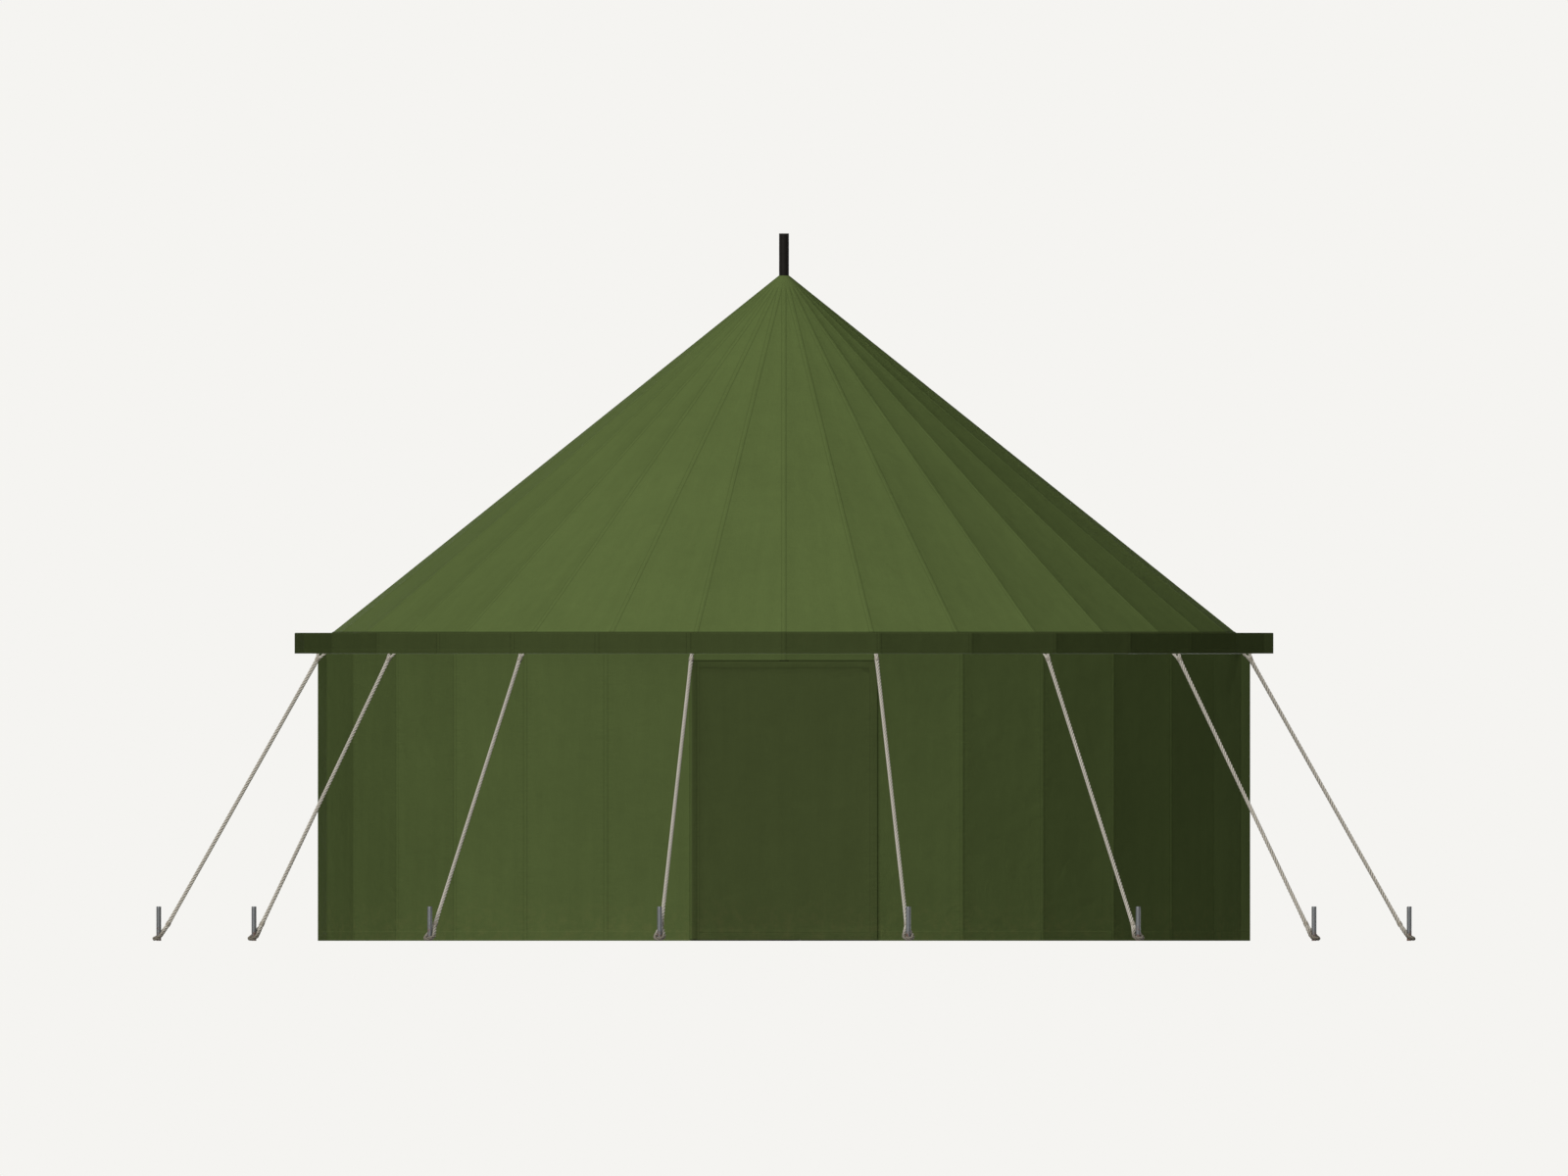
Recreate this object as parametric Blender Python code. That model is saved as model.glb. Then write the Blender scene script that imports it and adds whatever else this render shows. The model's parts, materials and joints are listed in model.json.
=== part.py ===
"""Round army tent: a conical canvas roof on one centre pole, a vertical round wall and sixteen guys.

Metres, +Z up. The origin is on the ground, on the centre pole's axis. The door faces -Y.
The tent is a 32-sided figure. Its corners are numbered anticlockwise from +X, 11.25 degrees apart,
so corner 24 is the middle of the front, and the doorway runs from corner 23 to corner 25.
"""

import math

import bmesh
import bpy
from mathutils import Vector

# Driving dimensions
SIDES = 32
WALL_RADIUS = 2.500
CANVAS = 0.004
SEAT = 0.0004

# Roof
ROOF_APEX_HEIGHT = 3.590
ROOF_RISE_PER_RUN = 0.800

# Centre pole and the cone that lifts the peak
POLE_RADIUS = 0.0265
POLE_TOP = 3.795
POLE_HOLE_RADIUS = 0.0272
BASE_PLATE_RADIUS = 0.090
BASE_PLATE_HEIGHT = 0.008
PEAK_CONE_RADIUS = 0.120
PEAK_CONE_RIM = 0.018
PEAK_CONE_NECK_RADIUS = 0.045
PEAK_CONE_BOTTOM = 3.405

# Eave band, a canvas ledge and skirt stretched over two hoops
BAND_RADIUS = 2.625
BAND_TOP = 1.652
BAND_BOTTOM = 1.541
HOOP_TUBE_SIDES = 8
EAVE_HOOP_TUBE = 0.010
EAVE_HOOP_CLEARANCE = 0.0185
EDGE_HOOP_TUBE = 0.008
ARM_THICKNESS = 0.006
ARM_FOOT_LENGTH = 0.045
ARM_DEPTH = 0.037
ARM_TIP_LENGTH = 0.020
ARM_TIP_DEPTH = 0.023
ARM_LIFT = 0.002

# Guys and pegs
GUY_COUNT = 16
GUY_RADIUS = 0.0095
GUY_SIDES = 8
PEG_CIRCLE = 3.420
PEG_RADIUS = 0.013
PEG_HEIGHT = 0.184
PEG_SIDES = 16

# Wall sections and doorway
SECTION_PANELS = 6
SECTION_COUNT = 5
DOOR_LEFT_CORNER = 23
DOOR_RIGHT_CORNER = 25
DOOR_HALF_WIDTH = 0.4995
DOOR_TOP = 1.5005
DOOR_FOOT_GAP = 0.006
DOOR_HEAD_GAP = 0.005
HINGE_HEM_RADIUS = 0.0085
HINGE_HEM_SIDES = 12
CORNER_TAPER_WIDTH = 0.015
CORNER_TAPER_HEIGHT = 0.100

# Worked out from the above
STEP = math.tau / SIDES
CORNERS_PER_GUY = SIDES // GUY_COUNT
ROOF_PITCH = math.atan(ROOF_RISE_PER_RUN)
ROOF_DROP = CANVAS / math.cos(ROOF_PITCH)
ROOF_SEAT_RUN = SEAT / math.sin(ROOF_PITCH)
WALL_TOP = ROOF_APEX_HEIGHT - ROOF_RISE_PER_RUN * WALL_RADIUS - ROOF_DROP - SEAT
PANEL_WIDTH = 2 * WALL_RADIUS * math.sin(STEP / 2)
SECTION_TRIM = SEAT / 2 / PANEL_WIDTH

# The eave hoop lies on the line from the wall head to the pegs, where the guys are hitched.
EAVE_HOOP_RADIUS = WALL_RADIUS + EAVE_HOOP_TUBE + EAVE_HOOP_CLEARANCE
GUY_RISE = ROOF_APEX_HEIGHT - ROOF_RISE_PER_RUN * WALL_RADIUS + 0.010
GUY_RUN = PEG_CIRCLE - WALL_RADIUS
EAVE_HOOP_HEIGHT = GUY_RISE * (PEG_CIRCLE - EAVE_HOOP_RADIUS) / GUY_RUN
EDGE_HOOP_RADIUS = BAND_RADIUS - CANVAS - SEAT - EDGE_HOOP_TUBE
EDGE_HOOP_HEIGHT = BAND_TOP - CANVAS - SEAT - EDGE_HOOP_TUBE

# Colours, as 8-bit screen values
ROOF_GREEN = (86, 101, 57)
WALL_GREEN = (74, 86, 48)
DARK_GREEN = (57, 67, 37)
ROPE_TAN = (172, 166, 154)
PEG_GREY = (104, 106, 107)
POLE_BLACK = (31, 29, 27)
HOOP_GREY = (96, 98, 99)

MERGE = 1e-6


def clear_scene():
    for thing in list(bpy.data.objects):
        bpy.data.objects.remove(thing)


def linear(channel):
    """One 8-bit screen value as the linear value that a shader takes."""
    share = channel / 255
    return share / 12.92 if share <= 0.04045 else ((share + 0.055) / 1.055) ** 2.4


def material(name, screen_colour, roughness, metallic=0.0):
    made = bpy.data.materials.new(name)
    made.use_nodes = True
    shader = made.node_tree.nodes["Principled BSDF"]
    shader.inputs["Base Color"].default_value = (*map(linear, screen_colour), 1.0)
    shader.inputs["Roughness"].default_value = roughness
    shader.inputs["Metallic"].default_value = metallic
    return made


def add_object(name, bm, finish, parent=None, smooth=False):
    """A named object from a bmesh, which it frees."""
    bmesh.ops.remove_doubles(bm, verts=bm.verts, dist=MERGE)
    bmesh.ops.recalc_face_normals(bm, faces=bm.faces)
    mesh = bpy.data.meshes.new(name)
    bm.to_mesh(mesh)
    bm.free()
    mesh.materials.append(finish)
    if smooth:
        mesh.shade_smooth()
        mesh.set_sharp_from_angle(angle=math.radians(35))
    return place_mesh(name, mesh, parent)


def place_mesh(name, mesh, parent=None):
    piece = bpy.data.objects.new(name, mesh)
    bpy.context.scene.collection.objects.link(piece)
    piece.parent = parent
    return piece


def helper_object(name, bm, finish):
    """A shape that a Boolean joins to a piece, hidden from renders."""
    helper = add_object(name, bm, finish)
    helper.hide_render = True
    helper.display_type = "WIRE"
    return helper


def join_shape(piece, helper):
    union = piece.modifiers.new("Join " + helper.name, "BOOLEAN")
    union.operation = "UNION"
    union.solver = "EXACT"
    union.object = helper


def roof_height(radius):
    return ROOF_APEX_HEIGHT - ROOF_RISE_PER_RUN * radius


def roof_radius(height):
    return (ROOF_APEX_HEIGHT - height) / ROOF_RISE_PER_RUN


def corner_point(station, radius, height):
    """The point at a corner number. A fraction lies on the flat between two corners."""
    first = math.floor(station)
    ends = []
    for corner in (first, first + 1):
        angle = corner * STEP
        ends.append(Vector((radius * math.cos(angle), radius * math.sin(angle), height)))
    return ends[0].lerp(ends[1], station - first)


def sweep(outline, stations, closed=False):
    """A closed shape from a (radius, height) outline carried past the stations."""
    bm = bmesh.new()
    rings = [[bm.verts.new(corner_point(s, r, z)) for r, z in outline] for s in stations]
    pairs = list(zip(rings, rings[1:]))
    if closed:
        pairs.append((rings[-1], rings[0]))
    for near, far in pairs:
        for i, (radius, _) in enumerate(outline):
            j = (i + 1) % len(outline)
            if radius or outline[j][0]:
                bm.faces.new((near[i], far[i], far[j], near[j]))
    if not closed:
        bm.faces.new(rings[0])
        bm.faces.new(rings[-1][::-1])
    return bm


def all_round(outline):
    return sweep(outline, range(SIDES), closed=True)


def tube_outline(radius, height, tube):
    """The outline of a tube whose flats touch a circle of the tube's radius."""
    points = []
    for i in range(HOOP_TUBE_SIDES):
        angle = math.tau * (i + 0.5) / HOOP_TUBE_SIDES
        reach = tube / math.cos(math.pi / HOOP_TUBE_SIDES)
        points.append((radius + reach * math.cos(angle), height + reach * math.sin(angle)))
    return points


def prism(bm, outline, place, depth):
    """Adds an outline extruded both ways from its plane; place maps (u, v, side) to a point."""
    sides = [[bm.verts.new(place(u, v, s)) for u, v in outline] for s in (-depth / 2, depth / 2)]
    bm.faces.new(sides[0])
    bm.faces.new(sides[1][::-1])
    for i in range(len(outline)):
        j = (i + 1) % len(outline)
        bm.faces.new((sides[0][i], sides[1][i], sides[1][j], sides[0][j]))


def build_centre_pole(finish, tent):
    outline = [
        (0, 0),
        (BASE_PLATE_RADIUS, 0),
        (BASE_PLATE_RADIUS, BASE_PLATE_HEIGHT),
        (POLE_RADIUS, BASE_PLATE_HEIGHT),
        (POLE_RADIUS, POLE_TOP),
        (0, POLE_TOP),
    ]
    add_object("centre_pole", all_round(outline), finish, tent, smooth=True)


def build_peak_cone(finish, tent):
    """The turned cone round the pole that the roof canvas hangs on, just under the peak."""

    def under_roof(radius):
        return roof_height(radius) - ROOF_DROP - SEAT / math.cos(ROOF_PITCH)

    outline = [
        (POLE_HOLE_RADIUS, under_roof(POLE_HOLE_RADIUS)),
        (PEAK_CONE_RADIUS, under_roof(PEAK_CONE_RADIUS)),
        (PEAK_CONE_RADIUS, under_roof(PEAK_CONE_RADIUS) - PEAK_CONE_RIM),
        (PEAK_CONE_NECK_RADIUS, PEAK_CONE_BOTTOM + PEAK_CONE_RIM),
        (PEAK_CONE_NECK_RADIUS, PEAK_CONE_BOTTOM),
        (POLE_HOLE_RADIUS, PEAK_CONE_BOTTOM),
    ]
    add_object("peak_cone", all_round(outline), finish, tent, smooth=True)


def build_roof(finish, tent):
    outline = [
        (POLE_HOLE_RADIUS, roof_height(POLE_HOLE_RADIUS)),
        (WALL_RADIUS, roof_height(WALL_RADIUS)),
        (WALL_RADIUS, roof_height(WALL_RADIUS) - ROOF_DROP),
        (POLE_HOLE_RADIUS, roof_height(POLE_HOLE_RADIUS) - ROOF_DROP),
    ]
    add_object("roof_canopy", all_round(outline), finish, tent)


def build_eave_band(finish, tent):
    """A flat ledge out from the roof slope and a skirt down from its edge."""
    under = BAND_TOP - CANVAS
    outline = [
        (roof_radius(BAND_TOP) + ROOF_SEAT_RUN, BAND_TOP),
        (BAND_RADIUS, BAND_TOP),
        (BAND_RADIUS, BAND_BOTTOM),
        (BAND_RADIUS - CANVAS, BAND_BOTTOM),
        (BAND_RADIUS - CANVAS, under),
        (roof_radius(under) + ROOF_SEAT_RUN, under),
    ]
    add_object("eave_band", all_round(outline), finish, tent)


def arm_outline():
    """The side view of an arm, from the wall head past the eave hoop up to the edge hoop."""
    foot = WALL_RADIUS + SEAT
    tip = BAND_RADIUS - CANVAS - SEAT
    low = BAND_BOTTOM + ARM_LIFT
    high = BAND_TOP - CANVAS - SEAT
    return [
        (foot, low),
        (foot + ARM_FOOT_LENGTH, low),
        (tip, high - ARM_TIP_DEPTH),
        (tip, high),
        (tip - ARM_TIP_LENGTH, high),
        (foot, low + ARM_DEPTH),
    ]


def build_hoop_half(side, first_station, finish, tent):
    """Half of the eave hoop, half of the edge hoop and the eight arms that join them."""
    last_station = first_station + SIDES // 2
    first_corner = math.ceil(first_station)
    corners = range(first_corner, first_corner + SIDES // 2)
    stations = [first_station + SECTION_TRIM, *corners, last_station - SECTION_TRIM]
    eave = tube_outline(EAVE_HOOP_RADIUS, EAVE_HOOP_HEIGHT, EAVE_HOOP_TUBE)
    edge = tube_outline(EDGE_HOOP_RADIUS, EDGE_HOOP_HEIGHT, EDGE_HOOP_TUBE)
    arms = bmesh.new()
    for corner in corners:
        if corner % CORNERS_PER_GUY:
            continue
        angle = corner * STEP
        out = Vector((math.cos(angle), math.sin(angle), 0))
        along = Vector((-math.sin(angle), math.cos(angle), 0))
        prism(
            arms,
            arm_outline(),
            lambda u, v, s, out=out, along=along: out * u + along * s + Vector((0, 0, v)),
            ARM_THICKNESS,
        )
    half = add_object("eave_hoop_" + side, sweep(eave, stations), finish, tent)
    join_shape(half, helper_object("edge_hoop_shape_" + side, sweep(edge, stations), finish))
    join_shape(half, helper_object("arm_shapes_" + side, arms, finish))


def build_walls(finish, tent):
    """Five sections of six panels round from the door, and the strip over the doorway."""
    outline = [
        (WALL_RADIUS, 0),
        (WALL_RADIUS, WALL_TOP),
        (WALL_RADIUS - CANVAS, WALL_TOP),
        (WALL_RADIUS - CANVAS, 0),
    ]
    for section in range(SECTION_COUNT):
        first = DOOR_RIGHT_CORNER + section * SECTION_PANELS
        stations = trimmed(first, first + SECTION_PANELS)
        add_object(f"wall_section_{section + 1}", sweep(outline, stations), finish, tent)
    head_bottom = DOOR_TOP + DOOR_HEAD_GAP
    head = [(r, max(z, head_bottom)) for r, z in outline]
    stations = trimmed(DOOR_LEFT_CORNER, DOOR_RIGHT_CORNER)
    add_object("wall_over_door", sweep(head, stations), finish, tent)


def trimmed(first, last):
    """The corners from first to last, with the two ends drawn in by half a seat."""
    return [first + SECTION_TRIM, *range(first + 1, last), last - SECTION_TRIM]


def hinge_place():
    """The door's hinge axis: the hem at its left edge lies against the wall's outer face."""
    normal_angle = (DOOR_LEFT_CORNER - 0.5) * STEP
    to_face = WALL_RADIUS * math.cos(STEP / 2) + HINGE_HEM_RADIUS + SEAT
    x = HINGE_HEM_RADIUS - DOOR_HALF_WIDTH
    y = (to_face - x * math.cos(normal_angle)) / math.sin(normal_angle)
    return Vector((x, y, 0))


def build_door(finish, tent):
    """One flap with a rolled hem down its hinge edge; the top free corner clears the guy."""
    hinge = hinge_place()
    free_edge = DOOR_HALF_WIDTH - hinge.x
    outline = [
        (0, DOOR_FOOT_GAP),
        (free_edge, DOOR_FOOT_GAP),
        (free_edge, DOOR_TOP - CORNER_TAPER_HEIGHT),
        (free_edge - CORNER_TAPER_WIDTH, DOOR_TOP),
        (0, DOOR_TOP),
    ]
    leaf = bmesh.new()
    prism(leaf, outline, lambda u, v, s: Vector((u, s, v)), CANVAS)
    flap = add_object("door_flap", leaf, finish, tent)
    flap.location = hinge
    hem = bmesh.new()
    bmesh.ops.create_cone(
        hem,
        cap_ends=True,
        segments=HINGE_HEM_SIDES,
        radius1=HINGE_HEM_RADIUS,
        radius2=HINGE_HEM_RADIUS,
        depth=DOOR_TOP - DOOR_FOOT_GAP,
    )
    rolled_hem = helper_object("hinge_hem_shape", hem, finish)
    rolled_hem.location = hinge + Vector((0, 0, (DOOR_TOP + DOOR_FOOT_GAP) / 2))
    join_shape(flap, rolled_hem)


def guy_mesh(finish):
    """A straight guy in the XZ plane, from under the eave hoop to beside the peg."""
    top = Vector((EAVE_HOOP_RADIUS, 0, EAVE_HOOP_HEIGHT))
    foot = Vector((PEG_CIRCLE, 0, 0))
    down = (foot - top).normalized()
    tube_corner = EAVE_HOOP_TUBE / math.cos(math.pi / HOOP_TUBE_SIDES)
    start = top + down * (tube_corner + SEAT)
    end_radius = PEG_CIRCLE - PEG_RADIUS - SEAT - GUY_RADIUS * abs(down.z)
    end = start + down * ((end_radius - start.x) / down.x)
    bm = bmesh.new()
    bmesh.ops.create_cone(
        bm,
        cap_ends=True,
        segments=GUY_SIDES,
        radius1=GUY_RADIUS,
        radius2=GUY_RADIUS,
        depth=(end - start).length,
    )
    turn = down.to_track_quat("Z", "Y").to_matrix().to_4x4()
    bmesh.ops.transform(bm, matrix=turn, verts=bm.verts)
    bmesh.ops.translate(bm, vec=(start + end) / 2, verts=bm.verts)
    return finished_mesh("guy_rope", bm, finish)


def peg_mesh(finish):
    bm = bmesh.new()
    bmesh.ops.create_cone(
        bm,
        cap_ends=True,
        segments=PEG_SIDES,
        radius1=PEG_RADIUS,
        radius2=PEG_RADIUS,
        depth=PEG_HEIGHT,
    )
    bmesh.ops.translate(bm, vec=(PEG_CIRCLE, 0, PEG_HEIGHT / 2), verts=bm.verts)
    return finished_mesh("peg", bm, finish)


def finished_mesh(name, bm, finish):
    """A smooth-shaded mesh that several objects share."""
    mesh = bpy.data.meshes.new(name)
    bm.to_mesh(mesh)
    bm.free()
    mesh.materials.append(finish)
    mesh.shade_smooth()
    mesh.set_sharp_from_angle(angle=math.radians(50))
    return mesh


def build_guys(rope_finish, peg_finish, tent):
    """Sixteen guys and pegs, numbered anticlockwise from the right side of the door."""
    rope = guy_mesh(rope_finish)
    peg = peg_mesh(peg_finish)
    for number in range(GUY_COUNT):
        turn = (DOOR_RIGHT_CORNER + number * CORNERS_PER_GUY) * STEP
        for name, mesh in (("guy_rope", rope), ("peg", peg)):
            piece = place_mesh(f"{name}_{number + 1:02d}", mesh, tent)
            piece.rotation_euler.z = turn


def main():
    clear_scene()
    tent = bpy.data.objects.new("tent", None)
    bpy.context.scene.collection.objects.link(tent)
    roof_canvas = material("roof canvas", ROOF_GREEN, 0.9)
    wall_canvas = material("wall canvas", WALL_GREEN, 0.9)
    dark_canvas = material("dark canvas", DARK_GREEN, 0.9)
    rope = material("natural rope", ROPE_TAN, 0.85)
    peg_steel = material("peg steel", PEG_GREY, 0.45, 0.8)
    pole_paint = material("black pole paint", POLE_BLACK, 0.5)
    hoop_steel = material("galvanised hoop", HOOP_GREY, 0.4, 0.8)
    build_centre_pole(pole_paint, tent)
    build_peak_cone(pole_paint, tent)
    build_roof(roof_canvas, tent)
    build_hoop_half("left", DOOR_LEFT_CORNER - SIDES // 2 + 1.5, hoop_steel, tent)
    build_hoop_half("right", DOOR_LEFT_CORNER + 1.5, hoop_steel, tent)
    build_eave_band(dark_canvas, tent)
    build_walls(wall_canvas, tent)
    build_door(dark_canvas, tent)
    build_guys(rope, peg_steel, tent)


main()
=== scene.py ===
"""Dresses the frame of a round army tent in canvas, laid rope, worn steel and black paint.

Metres, +Z up. The tent stands on the ground with its centre pole on the Z axis and its door towards -Y.
It is a 32-sided figure. Its corners are numbered anticlockwise from +X, 11.25 degrees apart, and the
doorway runs from corner 23 to corner 25.
"""

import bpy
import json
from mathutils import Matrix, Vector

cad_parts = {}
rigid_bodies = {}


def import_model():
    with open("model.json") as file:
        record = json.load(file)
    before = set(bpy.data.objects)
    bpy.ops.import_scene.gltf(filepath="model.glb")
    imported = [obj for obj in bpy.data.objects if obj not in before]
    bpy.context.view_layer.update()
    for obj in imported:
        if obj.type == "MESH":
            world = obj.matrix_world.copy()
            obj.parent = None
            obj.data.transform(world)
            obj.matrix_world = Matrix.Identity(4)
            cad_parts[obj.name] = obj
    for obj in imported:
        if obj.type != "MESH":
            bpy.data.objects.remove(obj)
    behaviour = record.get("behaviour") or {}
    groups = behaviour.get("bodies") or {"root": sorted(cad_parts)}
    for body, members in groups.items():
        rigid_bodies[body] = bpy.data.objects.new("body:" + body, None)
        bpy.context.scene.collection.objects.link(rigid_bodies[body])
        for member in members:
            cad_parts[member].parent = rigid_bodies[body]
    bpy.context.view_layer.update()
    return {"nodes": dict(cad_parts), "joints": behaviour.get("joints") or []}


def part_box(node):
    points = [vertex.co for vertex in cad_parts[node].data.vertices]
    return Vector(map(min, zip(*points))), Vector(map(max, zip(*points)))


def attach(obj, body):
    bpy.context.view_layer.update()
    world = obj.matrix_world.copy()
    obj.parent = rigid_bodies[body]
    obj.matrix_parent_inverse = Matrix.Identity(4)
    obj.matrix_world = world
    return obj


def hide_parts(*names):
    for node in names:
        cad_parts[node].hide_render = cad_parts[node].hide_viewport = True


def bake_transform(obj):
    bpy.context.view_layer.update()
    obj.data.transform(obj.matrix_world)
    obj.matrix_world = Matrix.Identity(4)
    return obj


bl_info = {
    "name": "Round Army Tent",
    "version": (1, 0, 0),
    "blender": (4, 5, 0),
    "location": "3D View > Sidebar > Tent",
    "description": "Dresses the frame of a round canvas tent",
    "category": "Object",
}

import json
import math

import bpy
import numpy as np
from bpy.props import FloatProperty, FloatVectorProperty, PointerProperty
from mathutils import Matrix, Vector, noise

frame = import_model()

# The tent's plan
SIDES = 32
STEP = math.tau / SIDES
CORNERS_PER_GUY = 2
GUY_COUNT = SIDES // CORNERS_PER_GUY
DOOR_LEFT_CORNER = 23
DOOR_RIGHT_CORNER = 25
SECTION_PANELS = 6
SECTION_COUNT = 5

# Sizes that the frame holds
WALL_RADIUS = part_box("roof_canopy")[1].x
WALL_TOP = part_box("wall_section_3")[1].z
DOOR_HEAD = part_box("wall_over_door")[0].z
BAND_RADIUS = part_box("eave_band")[1].x
BAND_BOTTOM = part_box("eave_band")[0].z
BAND_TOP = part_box("eave_band")[1].z
POLE_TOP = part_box("centre_pole")[1].z
PLATE_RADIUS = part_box("centre_pole")[1].x
PEG_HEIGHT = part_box("peg_01")[1].z
HINGE = Vector(frame["joints"][0]["pos_m"])

# The roof's slope, and the round pieces that the frame's boxes don't give
ROOF_APEX_HEIGHT = 3.590
ROOF_RISE_PER_RUN = 0.800
ROOF_NORMAL_UP = math.cos(math.atan(ROOF_RISE_PER_RUN))
POLE_RADIUS = 0.0265
POLE_HOLE_RADIUS = 0.0272
PLATE_HEIGHT = 0.008
HOOP_RADIUS = 2.5285
HOOP_HEIGHT = 1.5504
PEG_CIRCLE = 3.420
PEG_RADIUS = 0.013

# Canvas making
CLOTH_COLUMNS = 9
SEAM_SHARE = 0.3
SEAM_STEP = 0.002
SEAM_STEP_SHARE = 0.06
BUTT_GAP = 0.0002
COLLAR_RADIUS = 0.112
COLLAR_THICKNESS = 0.004
ROOF_HELD_AT_COLLAR = 0.25
ROOF_HELD_AT_HEM = 0.18
FOOT_HEM = 0.050
HEAD_HEM = 0.040
FOOT_HEM_SHARE = 0.4
HEAD_HEM_SHARE = 0.3
WALL_HELD_AT_HEAD = 0.35
WALL_HELD_AT_FOOT = 0.25
EAVE_HEM = 0.060
BAND_HEM = 0.024
BAND_THICKNESS = 0.002
BAND_SEAM_SHARE = 0.6
BAND_TURN = 0.005
BAND_LIP = (-0.0085, -0.004)
BAND_LIP_OFFSET = 0.0022
LEDGE_DIP = 0.0028
SKIRT_START = 0.02
SKIRT_DRAW_IN = 0.0008
DOOR_HEM = 0.035
ROLL_RADIUS = 0.0085
ROLL_HEM = 0.024
ROLL_START = 0.0135
ROLL_COLUMNS = 23
DOOR_TAPER_HEIGHT = 0.100
DOOR_TAPER_WIDTH = 0.015
DOOR_LEFT_EDGE = -0.4968
DOOR_TONE = 1.04
DOOR_HELD_AT_HINGE = 0.25
DOOR_EDGE_SHARE = 0.6
DOOR_BILLOW = 0.0045
DOOR_HEM_SHARE = 0.7
ROLL_DENTS = 0.015
STRIP_FLANGE = 0.009
STRIP_GAP = 0.0003
STRIP_LIFT = 0.0007
STRIP_INSET = 0.003
STRIP_WALL_REACH = 0.020
STRIP_LEAF_REACH = 0.026
LEAF_FACE = -0.0015
STRIP_THICKNESS = 0.0010
STITCH_LENGTH = 0.005
STITCH_NEAR = 0.0025
STITCH_FAR = 0.0065
NO_STITCH = 1.0
CUT_EDGE = 0.01
NEARLY = 1e-6

# Guys: an eye round the hoop and one round the foot of the peg, each spliced and whipped
EYE_THROAT = 0.040
EYE_RADIUS = 0.0188
EYE_THINNING = 0.28
THINNING_LENGTH = 0.02
LOWER_EYE_CIRCLE = 3.372
HALF_ROUND_PEG = (
    (-0.020, 0.016, 0.045),
    (0.0, 0.0238, 0.0220),
    (0.0169, 0.0169, 0.0134),
    (0.0238, 0.0, 0.0113),
)
SPLICE_LENGTH = 0.11
SPLICE_SWELL = 0.16
STEPS_PER_LAY = 12
LAY_SHIFT = 0.9
TAPER_LENGTH = 0.02
TAPER_END = 0.3
STRAND_SHARE = 0.485
TUBE_SIDES = 18
WHIPPING_TURNS = 10
WHIPPING_FIT = 1.17
WHIPPING_END = 0.86
TWINE = 0.0020
TWINE_BULGE = 0.0007
# Dark brown of soil, made darker still as painted shade, for the rope's foot
SOIL_AND_SHADE_COLOUR = (0.100, 0.086, 0.062)

# Photo framing: 1600 pixels across the frame, 475.5 of them across the wall's radius
PHOTO_WIDTH = 1600
PHOTO_HEIGHT = 1200
PHOTO_WALL_RADIUS = 475.5
PHOTO_GROUND_LINE = 960
PIXEL = WALL_RADIUS / PHOTO_WALL_RADIUS

# Lights, and what throws no shadow in the main one
LAMP_DISTANCE = 12
NO_SHADOW = ("eave", "guy_rope", "wall_over_door", "floor")


def screen(red, green, blue):
    """An 8-bit screen colour as the linear values that a shader takes."""
    shares = (channel / 255 for channel in (red, green, blue))
    return tuple(s / 12.92 if s <= 0.04045 else ((s + 0.055) / 1.055) ** 2.4 for s in shares)


def colour_property(name, description, default):
    return FloatVectorProperty(
        name=name, description=description, subtype="COLOR", size=3, min=0.0, max=1.0, default=default
    )


def distance_property(name, description, default):
    return FloatProperty(name=name, description=description, default=default, min=0.0, unit="LENGTH")


def strength_property(name, description, default):
    return FloatProperty(name=name, description=description, default=default, min=0.0)


def share_property(name, description, default, most):
    return FloatProperty(name=name, description=description, default=default, min=0.0, max=most)


def angle_property(name, description, degrees):
    angle = math.radians(degrees)
    return FloatProperty(name=name, description=description, default=angle, subtype="ANGLE")


class TentCanvasSettings(bpy.types.PropertyGroup):
    """Cloth weights, seams and colours of the canvas pieces"""

    roof_colour: colour_property("Roof", "Colour of the roof canvas", (0.0925, 0.1268, 0.0396))
    wall_colour: colour_property("Wall", "Colour of the wall canvas", (0.0695, 0.0945, 0.0302))
    dark_colour: colour_property("Band and door", "Colour of the darker canvas", (0.0474, 0.0622, 0.0208))
    thickness: distance_property("Thickness", "Thickness of one layer of canvas", 0.0012)
    seam_half_width: distance_property("Seam half width", "Half the width of a felled seam", 0.009)
    seam_raise: distance_property("Seam raise", "How far a seam or hem stands out from the cloth", 0.0009)
    weave_pitch: distance_property("Weave pitch", "Distance between two threads of the weave", 0.0016)
    roof_sag: share_property("Roof sag", "Dip of a roof panel as a share of its width", 0.011, 0.05)
    wall_sag: share_property("Wall sag", "Dip of a wall panel as a share of its width", 0.007, 0.05)


class TentRopeSettings(bpy.types.PropertyGroup):
    """Size, lay and colours of the guy ropes"""

    radius: distance_property("Radius", "Outer radius of the three-strand rope", 0.0110)
    lay: distance_property("Lay", "Length in which a strand goes once round the rope", 0.060)
    rope_colour: colour_property("Rope", "Colour of the rope's crowns", (0.480, 0.447, 0.382))
    twine_colour: colour_property("Twine", "Colour of the whipping on the splices", (0.370, 0.335, 0.270))


class TentMetalSettings(bpy.types.PropertyGroup):
    """Colours of the pegs, pole and hoops"""

    peg_colour: colour_property("Pegs", "Colour of the worn steel of the pegs", (0.146, 0.152, 0.155))
    rust_colour: colour_property("Rust", "Colour of the rust near the ground", (0.115, 0.048, 0.020))
    pole_colour: colour_property("Pole", "Colour of the pole's satin paint", (0.0112, 0.0100, 0.0087))
    hoop_colour: colour_property("Hoops", "Colour of the galvanised hoops", (0.30, 0.31, 0.315))


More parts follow.
